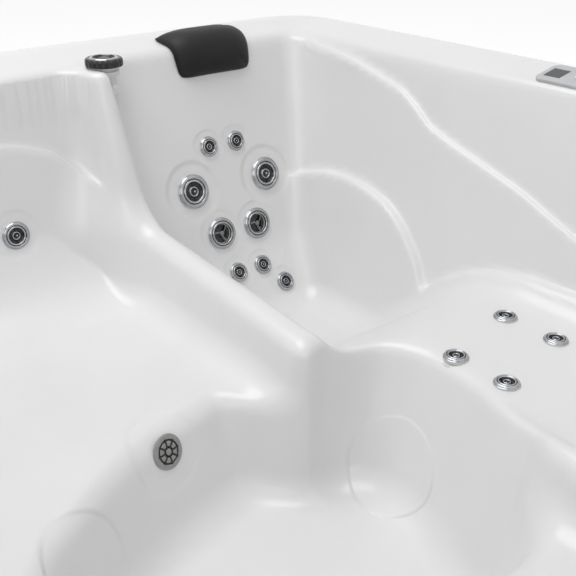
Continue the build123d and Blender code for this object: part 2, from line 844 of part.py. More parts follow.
# Filter lid with its stem, and the cartridge that hangs on it
stem_radius = 14
cartridge_top = filter_mouth_level - filter_mouth_height / 2 - 10
lid_seat = deck_level + flange_thickness + running_gap
with BuildPart() as filter_lid:
    with Locations((filter_x, filter_y, lid_seat)):
        Cylinder(lid_radius, lid_thickness, align=BASE)
    with Locations((filter_x, filter_y, lid_seat - 14)):
        Cylinder(can_inner - 1, 14, align=BASE)
        Cylinder(can_inner - 5, 12, align=BASE, mode=Mode.SUBTRACT)
    with Locations((filter_x, filter_y, cartridge_top)):
        Cylinder(stem_radius, lid_seat - cartridge_top, align=BASE)
    with Locations((filter_x + lid_radius - 14, filter_y, lid_seat + 4)):
        Box(24, 60, lid_thickness, align=BASE, mode=Mode.SUBTRACT)
finish(filter_lid.part, "filter_lid")

pleat_count = 48
pleat_depth = 12
with BuildPart() as filter_cartridge:
    with BuildSketch(Plane.XY.offset(cartridge_top - cartridge_length)):
        with Locations((filter_x, filter_y)):
            Circle(cartridge_radius)
            with PolarLocations(cartridge_radius, pleat_count):
                Rectangle(pleat_depth, 3, mode=Mode.SUBTRACT)
    extrude(amount=cartridge_length)
    for level in (cartridge_top - cartridge_length, cartridge_top - 12):
        with Locations((filter_x, filter_y, level)):
            Cylinder(cartridge_radius + 1, 12, align=BASE)
    with Locations((filter_x, filter_y, cartridge_top - cartridge_length)):
        Cylinder(cartridge_bore, cartridge_length - 12, align=BASE, mode=Mode.SUBTRACT)
finish(filter_cartridge.part, "filter_cartridge")

# Footwell disc with a ring of slots round a hub
disc_slots = 8
with BuildPart(disc_plane) as footwell_disc:
    step(disc_radius, 0, 6)
    step(disc_radius - 8 - running_gap, -30, 0)
    step(disc_radius - 16, -31, 2, Mode.SUBTRACT)
    with PolarLocations(disc_radius * 0.36, disc_slots):
        Box(disc_radius * 0.34, 4, 20, mode=Mode.SUBTRACT)
finish(footwell_disc.part, "footwell_disc")

# Suction fittings through the footwell wall, and their slotted covers
with BuildPart() as suction_fittings:
    for plane in suction_planes:
        with Locations(plane):
            Cylinder(suction_radius - 4, jet_flange, align=BASE)
        with Locations(plane.offset(-fitting_length)):
            Cylinder(suction_pipe_radius, fitting_length, align=BASE)
        with Locations(plane.offset(-shell_wall - nut_depth)):
            Cylinder(suction_pipe_radius + 12, nut_depth, align=BASE)
        with Locations(plane.offset(-fitting_length - 1)):
            Cylinder(suction_pipe_radius - 5, fitting_length + 20, align=BASE, mode=Mode.SUBTRACT)
finish(suction_fittings.part, "suction_fittings")

with BuildPart() as suction_covers:
    for plane in suction_planes:
        with Locations(plane.offset(jet_flange)):
            Cylinder(suction_radius, 14, align=BASE)
            Cylinder(suction_radius - 4, 10, align=BASE, mode=Mode.SUBTRACT)
            with Locations((0, 0, 10)):
                for ring, count in ((suction_radius * 0.72, 18), (suction_radius * 0.4, 10)):
                    with PolarLocations(ring, count):
                        Box(12, 5, 20, mode=Mode.SUBTRACT)
finish(suction_covers.part, "suction_covers")

with BuildPart(light_plane) as light_lens:
    step(light_radius, 0, 5)
    step(light_radius - 12 - running_gap, -40, 0)
    step(light_radius - 16, -41, 2, Mode.SUBTRACT)
finish(light_lens.part, "light_lens")

# Pump, its axis level with the suction header
pump_plane = Plane(origin=(pump_x, header_y, header_level), x_dir=(0, 1, 0), z_dir=(1, 0, 0))
foot_height = header_level - motor_radius - pan_wall
outlet_plane = Plane(
    origin=(pump_x + wet_end_length / 2, header_y, header_level), x_dir=(1, 0, 0), z_dir=(0, -1, 0)
)
inlet_length = 18
with BuildPart() as pump_wet_end:
    with Locations(pump_plane):
        Cylinder(wet_end_radius, wet_end_length, align=BASE)
    with Locations(pump_plane.offset(-inlet_length)):
        Cylinder(suction_pipe_radius + 8, inlet_length, align=BASE)
    with Locations(outlet_plane):
        Cylinder(suction_pipe_radius + 6, wet_end_radius + outlet_length, align=BASE)
    with Locations(outlet_plane.offset(wet_end_radius - 20)):
        Cylinder(suction_pipe_radius - 4, outlet_length + 30, align=BASE, mode=Mode.SUBTRACT)
    with Locations(pump_plane.offset(-inlet_length - 1)):
        Cylinder(suction_pipe_radius - 4, 60, align=BASE, mode=Mode.SUBTRACT)
finish(pump_wet_end.part, "pump_wet_end")

motor_fins = 20
with BuildPart(pump_plane) as pump_motor:
    step(motor_radius, wet_end_length, wet_end_length + motor_length)
    with PolarLocations(motor_radius, motor_fins):
        with Locations((0, 0, wet_end_length + 40)):
            Box(10, 4, motor_length - 100, align=BASE, mode=Mode.SUBTRACT)
    with Locations((0, -(header_level - pan_wall + motor_radius) / 2 + 5, wet_end_length + 60)):
        Box(pump_foot_width, foot_height + 10, motor_length - 140, align=BASE)
finish(pump_motor.part, "pump_motor")

# Rigid suction header from both suction fittings to the pump's inlet
pipe_wall = 5
header_west = min(suction_places) - 50
header_east = pump_x - inlet_length
header_plane = Plane(origin=(header_west, header_y, header_level), x_dir=(0, 1, 0), z_dir=(1, 0, 0))
branch_length = (south_wall - (suction_level - floor_level) * lean - header_y) / cos(radians(footwell_draft))
with BuildPart() as suction_header:
    with Locations(header_plane):
        Cylinder(suction_pipe_radius, header_east - header_west, align=BASE)
    with Locations(*[plane.offset(-branch_length) for plane in suction_planes]):
        Cylinder(suction_pipe_radius, branch_length - fitting_length, align=BASE)
    with Locations(header_plane):
        Cylinder(suction_pipe_radius - pipe_wall, header_east - header_west, align=BASE, mode=Mode.SUBTRACT)
    with Locations(*[plane.offset(-branch_length) for plane in suction_planes]):
        Cylinder(suction_pipe_radius - pipe_wall, branch_length, align=BASE, mode=Mode.SUBTRACT)
finish(suction_header.part, "suction_header")

# Flexible water hoses: filter to header, pump to heater, heater to manifold
heater_y = -half_length + heater_distance
outlet_end = header_y - wet_end_radius - outlet_length
manifold_start = header_y - 100
can_outlet = can_floor - 40
hose_run = header_west - filter_x
hose_routes = {
    "filter": [
        (filter_x, filter_y, can_outlet),
        (filter_x, filter_y, header_level),
        (filter_x + 0.45 * hose_run, filter_y, header_level),
        (filter_x + 0.7 * hose_run, header_y, header_level),
        (header_west, header_y, header_level),
    ],
    "heater": [
        (outlet_x, outlet_end, header_level),
        (outlet_x, heater_y, header_level),
        (heater_start, heater_y, header_level),
    ],
    "manifold": [
        (heater_end, heater_y, header_level),
        (manifold_x, heater_y, header_level),
        (manifold_x, manifold_start, header_level),
    ],
}
hose_section = 3.14159265 * (suction_pipe_radius**2 - (suction_pipe_radius - pipe_wall) ** 2)
with BuildPart() as water_hoses:
    for route in hose_routes.values():
        with BuildLine() as path:
            FilletPolyline(*route, radius=hose_bend)
        start = Vector(*route[0])
        with BuildSketch(Plane(origin=start, z_dir=Vector(*route[1]) - start)):
            Circle(suction_pipe_radius)
            Circle(suction_pipe_radius - pipe_wall, mode=Mode.SUBTRACT)
        sweep(path=path.wires()[0])
finish(water_hoses.part, "water_hoses")

# Heater tube with its unions, terminal housing and saddles
heater_plane = Plane(origin=(heater_start, heater_y, header_level), x_dir=(0, 1, 0), z_dir=(1, 0, 0))
saddle_height = header_level - pan_wall
with BuildPart(heater_plane) as heater:
    step(heater_radius, 0, heater_length)
    step(heater_radius + 9, 0, 26)
    step(heater_radius + 9, heater_length - 26, heater_length)
    with Locations((0, heater_radius + 8, heater_length / 2 - 60)):
        Box(50, 40, 120, align=BASE)
    for offset in (60, heater_length - 60 - saddle_width):
        with Locations((0, -saddle_height / 2, offset)):
            Box(2 * heater_radius, saddle_height, saddle_width, align=BASE)
    step(heater_radius - 3, -1, heater_length + 1, Mode.SUBTRACT)
finish(heater.part, "heater")

# Water and air manifolds with their ports and feet
manifold_plane = Plane(origin=(manifold_x, manifold_start, header_level), x_dir=(-1, 0, 0), z_dir=(0, 1, 0))
air_plane = Plane(
    origin=(east(air_manifold_distance), manifold_start, air_manifold_level), x_dir=(-1, 0, 0), z_dir=(0, 1, 0)
)
port_spacing = manifold_length / manifold_ports
with BuildPart() as manifolds:
    for plane, radius, foot in (
        (manifold_plane, suction_pipe_radius, saddle_height),
        (air_plane, air_manifold_radius, air_manifold_level - pan_wall),
    ):
        with Locations(plane):
            Cylinder(radius, manifold_length, align=BASE)
        for index in range(manifold_ports):
            place = plane.origin + Vector(0, (index + 0.5) * port_spacing, 0)
            with Locations(place):
                Cylinder(manifold_port_radius, radius + 35, align=BASE)
        for index in (1, manifold_ports - 1):
            place = plane.origin + Vector(0, index * port_spacing, -foot)
            with Locations(place):
                Box(1.6 * radius, saddle_width, foot, align=BASE)
        with Locations(plane.offset(-1)):
            Cylinder(radius - pipe_wall, manifold_length - 10, align=BASE, mode=Mode.SUBTRACT)
        for index in range(manifold_ports):
            place = plane.origin + Vector(0, (index + 0.5) * port_spacing, 0)
            with Locations(place):
                Cylinder(manifold_port_radius - 3, radius + 40, align=BASE, mode=Mode.SUBTRACT)
finish(manifolds.part, "manifolds")

# Control box and ozone generator, standing on the pan
box_length = 300
box_width = 110
box_height = 260
box_x = -270
box_y = -half_length + 145
with BuildPart() as control_box:
    with Locations((box_x, box_y, pan_wall)):
        Box(box_length, box_width, box_height, align=BASE)
    fillet(control_box.edges().filter_by(Axis.Z), 10)
    with Locations((box_x, box_y - box_width / 2 - 4, pan_wall + 14)):
        Box(box_length - 24, 8, box_height - 28, align=BASE)
    for index in range(5):
        with Locations((box_x + (index - 2) * 50, box_y, pan_wall + box_height)):
            Cylinder(11, 18, align=BASE)
finish(control_box.part, "control_box")

ozone_x = -610
ozone_y = header_y + 90
with BuildPart() as ozone_generator:
    with Locations((ozone_x, ozone_y, pan_wall)):
        Box(180, 60, 120, align=BASE)
        fillet(ozone_generator.edges().filter_by(Axis.Z), 8)
    with Locations((ozone_x, ozone_y, pan_wall + 120)):
        Cylinder(6, 30, align=BASE)
finish(ozone_generator.part, "ozone_generator")

# Drain valve with its cap and the power inlet's gland, through the left panel
cap_depth = 11
with BuildPart() as drain_valve:
    with Locations(drain_plane):
        Cylinder(drain_radius + 10, 3, align=BASE)
        Cylinder(drain_radius, 10, align=BASE)
    with Locations(drain_plane.offset(-100)):
        Cylinder(drain_radius, 100, align=BASE)
    with Locations(drain_plane.offset(-panel_thickness - nut_depth)):
        Cylinder(drain_radius + 8, nut_depth, align=BASE)
    with Locations(drain_plane.offset(-101)):
        Cylinder(drain_radius - 4, 120, align=BASE, mode=Mode.SUBTRACT)
finish(drain_valve.part, "drain_valve")

with BuildPart() as drain_cap:
    with Locations(drain_plane.offset(3 + running_gap)):
        Cylinder(drain_radius + 6, cap_depth, align=BASE)
        Cylinder(drain_radius + running_gap, cap_depth - 3, align=BASE, mode=Mode.SUBTRACT)
    with Locations(drain_plane):
        with PolarLocations(drain_radius + 7, 10):
            Cylinder(2, 60, mode=Mode.SUBTRACT)
finish(drain_cap.part, "drain_cap")

gland_bore = 8
gland_length = 44
with BuildPart() as power_gland:
    with Locations(gland_plane):
        Cylinder(gland_radius + 9, 4, align=BASE)
        Cylinder(gland_radius + 3, 14, align=BASE)
    with Locations(gland_plane.offset(-gland_length)):
        Cylinder(gland_radius, gland_length, align=BASE)
    with Locations(gland_plane.offset(-panel_thickness - nut_depth)):
        Cylinder(gland_radius + 6, nut_depth, align=BASE)
    with Locations(gland_plane.offset(-gland_length - 1)):
        Cylinder(gland_bore, gland_length + 20, align=BASE, mode=Mode.SUBTRACT)
finish(power_gland.part, "power_gland")

# Pillows that lap over the basin's edge, thickest at the bend
def pillow(side, along, edge, slope):
    """Cushion lapped over the edge of one wall, with its middle at one place along the wall."""
    flat = side_plane(side, along, 0)
    across = Plane(origin=flat.origin, x_dir=flat.y_dir, z_dir=flat.y_dir.cross(Vector(0, 0, 1)))
    gap = running_gap * 1.2
    edge_level = rim_height - (edge - rim_flat) * deck_slope
    start = (pillow_start, rim_height - (pillow_start - rim_flat) * deck_slope + gap)
    corner = (edge + gap, edge_level + gap)
    end = (edge + slope * (pillow_drop + gap) + gap, edge_level - pillow_drop)
    crown = (edge + 0.66 * pillow_thickness, edge_level + 0.75 * pillow_thickness)
    out = Vector(0.5, 0.866)
    with BuildPart() as cushion:
        with BuildSketch(across):
            with BuildLine():
                Polyline(end, corner, start)
                ThreePointArc(start, crown, end)
            make_face()
        extrude(amount=pillow_width / 2, both=True)
        middle = across.from_local_coords(Vector((start[0] + end[0]) / 2, (start[1] + end[1]) / 2, 0))
        facing = across.x_dir * out.X + Vector(0, 0, 1) * out.Y
        with BuildSketch(Plane(origin=middle, x_dir=across.z_dir, z_dir=facing)):
            RectangleRounded(pillow_width, pillow_height, pillow_corner)
        extrude(amount=150, both=True, mode=Mode.INTERSECT)
    return cushion.part


lounger_pillow = pillow("north", east(pillow_middle), lounger_head, back_slope)
finish(lounger_pillow, "lounger_pillow")
with BuildPart() as seat_pillows:
    add(pillow("west", 0, deck_width, draft_slope))
    add(pillow("south", 0, deck_width, draft_slope))
finish(seat_pillows.part, "seat_pillows")
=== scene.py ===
import json
import math

import bmesh
import bpy
import numpy as np
from mathutils import Matrix, Vector


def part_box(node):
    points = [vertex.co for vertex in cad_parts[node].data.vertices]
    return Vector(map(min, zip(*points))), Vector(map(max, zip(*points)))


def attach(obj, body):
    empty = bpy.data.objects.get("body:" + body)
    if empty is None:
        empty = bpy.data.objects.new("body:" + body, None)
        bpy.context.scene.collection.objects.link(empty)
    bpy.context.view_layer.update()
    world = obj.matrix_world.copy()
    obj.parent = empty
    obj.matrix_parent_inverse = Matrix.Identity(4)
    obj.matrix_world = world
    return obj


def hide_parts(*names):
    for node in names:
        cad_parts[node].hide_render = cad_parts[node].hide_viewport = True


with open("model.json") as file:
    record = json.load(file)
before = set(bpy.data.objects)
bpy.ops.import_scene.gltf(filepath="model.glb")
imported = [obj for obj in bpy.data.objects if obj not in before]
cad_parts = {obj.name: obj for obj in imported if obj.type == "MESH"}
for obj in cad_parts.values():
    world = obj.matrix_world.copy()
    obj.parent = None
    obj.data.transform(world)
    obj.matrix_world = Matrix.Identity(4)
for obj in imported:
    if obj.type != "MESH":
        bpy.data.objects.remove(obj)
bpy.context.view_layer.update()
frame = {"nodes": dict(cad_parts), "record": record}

# Everything below is worked out in millimetres: u is the distance in from the east edge,
# v the distance in from the north edge and z the height above the ground.
SIDE = 2200.0
RIM = 900.0
DECK = 870.0
DECK_WIDTH = 200.0
ARM = 450.0
CORNER = 170.0
WALL_LEAN = math.tan(math.radians(9.5))


def place(u, v, z):
    """The point in the row frame, in metres."""
    return Vector(((SIDE / 2 - u) / 1000, (SIDE / 2 - v) / 1000, z / 1000))


# ---------------------------------------------------------------- the moulded shell's form

def ramp(value, low, high):
    """Eased step from 0 at low to 1 at high."""
    t = np.clip((value - low) / (high - low), 0.0, 1.0)
    return t * t * (3 - 2 * t)


def line(points, soft=0.0):
    """A curve through points given as (distance, value), eased over a length."""
    at = np.arange(-200.0, SIDE + 201.0, 4.0)
    value = np.interp(at, [p[0] for p in points], [p[1] for p in points])
    if soft:
        reach = int(soft * 3 / 4.0)
        kernel = np.exp(-0.5 * (np.arange(-reach, reach + 1) * 4.0 / soft) ** 2)
        value = np.convolve(np.pad(value, reach, mode="edge"), kernel / kernel.sum(), "valid")
    return lambda distance: np.interp(distance, at, value)


def meet(a, b, radius):
    """Where two hollows overlap, with the inner corner filleted."""
    return np.maximum(radius, np.minimum(a, b)) - np.hypot(np.maximum(radius - a, 0), np.maximum(radius - b, 0))


def join(a, b, radius):
    """Two hollows together, with the crest between them rounded over."""
    return np.minimum(-radius, np.maximum(a, b)) + np.hypot(np.maximum(radius + a, 0), np.maximum(radius + b, 0))


def edge_distance(u, v):
    """How far in from the tub's rounded outline."""
    a = np.abs(u - SIDE / 2) - (SIDE / 2 - CORNER)
    b = np.abs(v - SIDE / 2) - (SIDE / 2 - CORNER)
    return CORNER - np.hypot(np.maximum(a, 0), np.maximum(b, 0)) - np.minimum(np.maximum(a, b), 0)


# Rim, lip and deck: height by the distance in from the outline
deck_line = line([(-200, 874), (0, 876), (6, 888), (14, 896), (26, 900), (64, 900), (196, 871), (240, 870),
                  (2400, 870)], 5)
# Upper ledge along the east wall: height by the distance from the north edge
ridge_line = line([(0, 884), (150, 880), (200, 868), (441, 839), (636, 793), (700, 757), (749, 722), (830, 697),
                   (920, 674), (1061, 636), (1211, 581), (1400, 520), (1650, 470), (2200, 470)], 14)
# Lower ledge: an arc beside the hips, a cusp, and a long line beside the legs
hip_line = line([(0, 455), (230, 471), (324, 503), (414, 526), (480, 531), (540, 529), (600, 520), (661, 504),
                 (700, 483), (739, 456), (780, 418), (815, 378), (838, 330), (850, 322), (862, 334), (907, 378),
                 (970, 412), (1045, 440), (1147, 458), (1273, 460), (2200, 460)], 7)
# The footwell's east side at the floor, and the leg rest's and armrest's west side at the armrest's level
foot_east = line([(0, 930), (1000, 905), (1034, 893), (1059, 824), (1103, 778), (1176, 748), (1250, 751),
                  (1331, 762), (1385, 782), (1438, 808), (1534, 842), (1560, 872), (2200, 1100)], 14)
arm_end = line([(0, 800), (1035, 800), (1105, 752), (1180, 722), (2200, 722)], 18)

# Lounger: levels, and the faces' starts and slopes, with the cosine of each slope
LOUNGE_SEAT = 165.0
LEG = 413.0
LEG_END = 1650.0
LEG_SPREAD = 0.1
LEG_COS = 0.995
BACK_START, BACK_SLOPE, BACK_COS = 176.0, 0.313, 0.9543
LUMBAR_TOP, LUMBAR_START, LUMBAR_SLOPE, LUMBAR_COS = 325.0, 346.6, 0.664, 0.833
KNEE_START, KNEE_SLOPE, KNEE_COS = 720.0, 0.775, 0.79
SEAT_SLOPE_MEET = 46.0
KNEE_CREST = 60.0
BACK_CREASE = 8.0
COUCH_FILLET = 44.0
LEG_FILLET = 66.0
LEG_END_FILLET = 70.0
LOUNGE_CREST = 24.0

# Seats round the north, west and south: edges in plan, levels and fillets
NORTH_SEAT = (872.0, 1432.0, 1120.0)
WEST_SEAT = (680.0, 1520.0, 1378.0)
SOUTH_SEAT = (770.0, 1430.0, 1378.0)
SEAT_MIDDLE = {"north": 1152.0, "west": 1100.0, "south": 1100.0}
WEST_LEVEL, NORTH_RISE, SOUTH_RISE = 300.0, 20.0, 40.0
SEAT_SIDE_LEAN = 0.12
SEAT_CORNER = 60.0
SEAT_BLEND = 80.0
SEAT_FILLET = 62.0
SEAT_CREST = 36.0

# Armrest between the lounger and the north seat: how far it rises, and from where to where it falls
ARM_RISE, ARM_TOP, ARM_FALL = 58.0, 345.0, 695.0
ARM_HEAD = (768.0, 430.0, 40.0)

# Footwell: the floor's corners in plan, its nose under the armrest, and its fillets
FLOOR = 100.0
FOOT_LEAN = math.tan(math.radians(20))
FOOT_COS = math.cos(math.radians(20))
FOOT_NORTH, FOOT_TURN, FOOT_CORNER = (855, 975), (1330, 1085), (1480, 1215)
FOOT_SOUTH = 1560.0
NOSE_REACH, NOSE_STEEP = 105.0, 0.85
FOOT_BEND = 90.0
FOOT_EAST_BEND = 70.0
FOOT_FILLET = 62.0
FOOT_CREST = 34.0

# Basin walls, the filter's corner wall and the control shelves
WALL_COS = 0.986
WALL_BEND = 150.0
FILTER_LINE, FILTER_LEAN, FILTER_BEND = 3676.0, 0.06, 60.0
BASIN_FILLET = 205.0
SHELF_REACH, SHELF_LEAN, SHELF_COS = 295.0, 0.262, 0.967
SHELF_HALF, SHELF_CREST, SHELF_FILLET = 56.0, 46.0, 62.0

# East wall beside the lounger: its foot, its lean and its two ledges
EAST_START, EAST_LEAN, EAST_COS = 160.0, 0.178, 0.984
RIDGE_STEP, RIDGE_HALF = 12.0, 3.0
HIP_STEP, HIP_HALF = 23.0, 4.0
EAST_FILLET = 56.0
DECK_COS = 0.97
DECK_CREST = 17.0

# Arch over each seat's back: height by the distance from the seat's middle
arch_line = line([(-200, 726), (0, 726), (21, 724), (93, 710), (167, 683), (241, 616), (291, 552), (328, 473),
                  (360, 379), (366, 170), (2200, 170)], 16)
ARCH_STEP, ARCH_HALF = 15.0, 5.0


def back_step(across, z):
    """How far the wall over a seat's arch stands back from the part below it."""
    top = arch_line(np.abs(across))
    return ARCH_STEP * ramp(z, top - ARCH_HALF, top + ARCH_HALF) * (1 - ramp(z, 780, 850))


# Control shelves: across the side at this place, then out from it
PIERS = (("north", 838.0), ("west", 620.0), ("south", 1580.0))


def slope_line(u, v, start, end):
    """Distance in plan from a straight line, on its southern side, along the v direction."""
    du, dv = end[0] - start[0], end[1] - start[1]
    run = math.hypot(du, dv)
    return ((v - start[1]) * du - (u - start[0]) * dv) / run


def hollow(u, v, z):
    """Above zero in the open, below zero in the shell's solid, near to a distance in millimetres."""
    w = DECK - z
    # seats: one bench round the north, west and south, its level changing softly
    north_part = (1 - ramp(u, 1300, 1500)) * (1 - ramp(v, 900, 1100))
    south_part = ramp(v, 1400, 1560) * (1 - ramp(u, 1350, 1500))
    level = WEST_LEVEL + NORTH_RISE * north_part + SOUTH_RISE * south_part
    side_lean = (ARM - z) * SEAT_SIDE_LEAN

    def between(along, low, high):
        """Open between a seat's two sides."""
        return meet(along - low - side_lean, high - along - side_lean, SEAT_CORNER)

    north_seat = meet(between(u, *NORTH_SEAT[:2]), NORTH_SEAT[2] - v, SEAT_CORNER)
    west_seat = meet(between(v, *WEST_SEAT[:2]), u - WEST_SEAT[2], SEAT_CORNER)
    south_seat = meet(between(u, *SOUTH_SEAT[:2]), v - SOUTH_SEAT[2], SEAT_CORNER)
    bench = join(join(north_seat, west_seat, SEAT_BLEND), south_seat, SEAT_BLEND)
    seats = meet(bench, z - level, SEAT_FILLET)
    # footwell
    rise = (z - FLOOR) * FOOT_LEAN
    nose = 1 - ramp(u, 858, 1010)
    steep = rise * (1 - NOSE_STEEP * nose)
    north_side = (slope_line(u, v, FOOT_NORTH, FOOT_TURN) - NOSE_REACH * nose + steep) * FOOT_COS
    corner_side = (slope_line(u, v, FOOT_TURN, FOOT_CORNER) + rise) * FOOT_COS
    west_side = (FOOT_CORNER[0] - u + rise) * FOOT_COS
    south_side = (FOOT_SOUTH - v + rise) * FOOT_COS
    east_side = (u - foot_east(v) + rise) * FOOT_COS
    well = meet(meet(north_side, corner_side, FOOT_BEND), meet(west_side, south_side, FOOT_BEND), FOOT_BEND)
    well = meet(meet(well, east_side, FOOT_EAST_BEND), z - FLOOR, FOOT_FILLET)
    # armrest level between the pockets
    wedge = ARM_RISE * np.clip(1 - (v - ARM_TOP) / ARM_FALL, 0, 1)
    arm = z - ARM - wedge * ramp(u, 300, 600) * (1 - ramp(u, 900, 1100))
    ground = join(join(arm, seats, SEAT_CREST), well, FOOT_CREST)
    inside = DECK_WIDTH + w * WALL_LEAN
    north_wall = (v - inside + back_step(u - SEAT_MIDDLE["north"], z)) * WALL_COS
    west_wall = (SIDE - u - inside + back_step(v - SEAT_MIDDLE["west"], z)) * WALL_COS
    south_wall = (SIDE - v - inside + back_step(u - SEAT_MIDDLE["south"], z)) * WALL_COS
    walls = meet(meet(north_wall, west_wall, WALL_BEND), south_wall, WALL_BEND)
    filter_wall = (FILTER_LINE - u - v - FILTER_LEAN * w) / math.sqrt(2)
    walls = meet(walls, filter_wall, FILTER_BEND)
    basin = meet(ground, walls, BASIN_FILLET)
    for side, along in PIERS:
        across, out = {"north": (u - along, v), "west": (v - along, SIDE - u), "south": (u - along, SIDE - v)}[side]
        front = (out - SHELF_REACH - w * SHELF_LEAN) * SHELF_COS
        shelf = join(np.abs(across) - SHELF_HALF, front, SHELF_CREST)
        basin = meet(basin, shelf, SHELF_FILLET)
    head_u, head_v, head_bend = ARM_HEAD
    basin = meet(basin, join(u - head_u, v - head_v, head_bend), head_bend)
    # lounger: back, lumbar, seat, knee and leg rest in one channel
    back = (v - BACK_START - BACK_SLOPE * w) * BACK_COS
    lumbar = (v - LUMBAR_START - LUMBAR_SLOPE * (LUMBAR_TOP - z)) * LUMBAR_COS
    knee = (z - LOUNGE_SEAT - KNEE_SLOPE * (v - KNEE_START)) * KNEE_COS
    couch = join(meet(z - LOUNGE_SEAT, knee, SEAT_SLOPE_MEET), z - LEG, KNEE_CREST)
    lounge = meet(meet(back, lumbar, BACK_CREASE), couch, COUCH_FILLET)
    lounge = meet(lounge, (arm_end(v) - u + LEG_SPREAD * (z - ARM)) * LEG_COS, LEG_FILLET)
    lounge = meet(lounge, LEG_END - v, LEG_END_FILLET)
    space = join(basin, lounge, LOUNGE_CREST)
    # east wall with its two moulded ledges
    fade = 1 - ramp(v, 1480, 1680)
    ridge, hip = ridge_line(v), hip_line(v)
    east = EAST_START + EAST_LEAN * w
    east = east + RIDGE_STEP * fade * (1 - ramp(z, ridge - RIDGE_HALF, ridge + RIDGE_HALF)) + RIDGE_STEP * (1 - fade)
    east = east + HIP_STEP * fade * (1 - ramp(z, hip - HIP_HALF, hip + HIP_HALF))
    space = meet(space, (u - east) * EAST_COS, EAST_FILLET)
    deck = (z - deck_line(edge_distance(u, v))) * DECK_COS
    return join(space, deck, DECK_CREST)


def height(u, v, steps=20):
    """Height of the shell's face over each place."""
    low = np.full(u.shape, 60.0)
    high = np.full(u.shape, 930.0)
    for _ in range(steps):
        middle = (low + high) / 2
        inside = hollow(u, v, middle) > 0
        high = np.where(inside, middle, high)
        low = np.where(inside, low, middle)
    return (low + high) / 2


def outline_points(count):
    """Points round the outer edge, from the middle of one corner's arc to the next, for the four sides."""
    arc = CORNER * math.pi / 4
    straight = SIDE - 2 * CORNER
    along = np.linspace(0, 2 * arc + straight, count + 1)
    angle = np.minimum(along, arc) / CORNER
    first = np.clip(along - arc, 0, straight)
    last = np.clip(along - arc - straight, 0, arc) / CORNER
    x = CORNER - CORNER * np.sin(math.pi / 4 - angle) + first + CORNER * np.sin(last)
    y = CORNER - CORNER * np.cos(math.pi / 4 - angle) + CORNER * (1 - np.cos(last))
    return x, y


def plan_grid(count):
    """Plan of a square net stretched over the outline by its four sides."""
    x, y = outline_points(count)
    s = np.linspace(0, 1, count + 1)
    north = np.stack([x, y])
    south = np.stack([x, SIDE - y])
    east = np.stack([y, x])
    west = np.stack([SIDE - y, x])
    a = s[:, None]
    b = s[None, :]
    net = np.zeros((2, count + 1, count + 1))
    for axis in (0, 1):
        net[axis] = (
            (1 - b) * north[axis][:, None] + b * south[axis][:, None]
            + (1 - a) * east[axis][None, :] + a * west[axis][None, :]
            - (1 - a) * (1 - b) * north[axis][0] - (1 - a) * b * south[axis][0]
            - a * (1 - b) * north[axis][-1] - a * b * south[axis][-1]
        )
    return net


STEP = 5.0


def spacing_map():
    """How closely the net's lines are wanted over the plan: by the slope, and more in the lounger's corner."""
    at = np.arange(0.0, SIDE + 1, STEP)
    u, v = np.meshgrid(at, at, indexing="ij")
    z = height(u, v, 12)
    gu, gv = np.gradient(z, STEP)
    want = np.sqrt(1 + np.minimum(gu, 9) ** 2 + np.minimum(gv, 9) ** 2)
    curve = np.abs(np.gradient(gu, STEP, axis=0)) + np.abs(np.gradient(gv, STEP, axis=1))
    want = want + 7 * np.minimum(curve, 0.25)
    near = (1 - ramp(u, 1150, 1700)) * (1 - ramp(v, 1350, 1800))
    want = want * (1 + 0.75 * near)
    edge = edge_distance(u, v)
    want = want + 5 * (1 - ramp(edge, 18, 60))
    kernel = np.array([1, 4, 6, 4, 1]) / 16
    for _ in range(2):
        want = np.apply_along_axis(lambda r: np.convolve(np.pad(r, 2, mode="edge"), kernel, "valid"), 0, want)
        want = np.apply_along_axis(lambda r: np.convolve(np.pad(r, 2, mode="edge"), kernel, "valid"), 1, want)
    return want


def look_up(table, u, v):
    """A value of the spacing map between its grid points."""
    a = np.clip(u / STEP, 0, table.shape[0] - 1.001)
    b = np.clip(v / STEP, 0, table.shape[1] - 1.001)
    i, j = a.astype(int), b.astype(int)
    p, q = a - i, b - j
    return ((1 - p) * (1 - q) * table[i, j] + p * (1 - q) * table[i + 1, j]
            + (1 - p) * q * table[i, j + 1] + p * q * table[i + 1, j + 1])


def relax(net, want, rounds):
    """Lets the net's inner lines drift to where they are wanted; the outer edge stays where it is."""
    for turn in range(rounds):
        if turn % 8 == 0:
            w = look_up(want, net[0], net[1])
            wi = (w[1:, :] + w[:-1, :]) / 2
            wj = (w[:, 1:] + w[:, :-1]) / 2
            total = wi[1:, 1:-1] + wi[:-1, 1:-1] + wj[1:-1, 1:] + wj[1:-1, :-1]
        moved = (wi[1:, 1:-1] * net[:, 2:, 1:-1] + wi[:-1, 1:-1] * net[:, :-2, 1:-1]
                 + wj[1:-1, 1:] * net[:, 1:-1, 2:] + wj[1:-1, :-1] * net[:, 1:-1, :-2]) / total
        net[:, 1:-1, 1:-1] += 0.9 * (moved - net[:, 1:-1, 1:-1])
    return net


def slide_edge(net, want):
    """Spreads the points along each outer side by how closely they are wanted there."""
    for take in (np.s_[:, :, 0], np.s_[:, :, -1], np.s_[:, 0, :], np.s_[:, -1, :]):
        side = net[take]
        fine_u = np.interp(np.linspace(0, 1, 2001), np.linspace(0, 1, side.shape[1]), side[0])
        fine_v = np.interp(np.linspace(0, 1, 2001), np.linspace(0, 1, side.shape[1]), side[1])
        length = np.hypot(np.diff(fine_u), np.diff(fine_v))
        inward_u = np.clip(fine_u, 260, SIDE - 260)
        inward_v = np.clip(fine_v, 260, SIDE - 260)
        w = look_up(want, inward_u, inward_v)
        weight = np.minimum((w[1:] + w[:-1]) / 2, 5.0)
        total = np.concatenate([[0], np.cumsum(length * weight)])
        even = np.linspace(0, total[-1], side.shape[1])
        side[0] = np.interp(even, total, fine_u)
        side[1] = np.interp(even, total, fine_v)
    return net


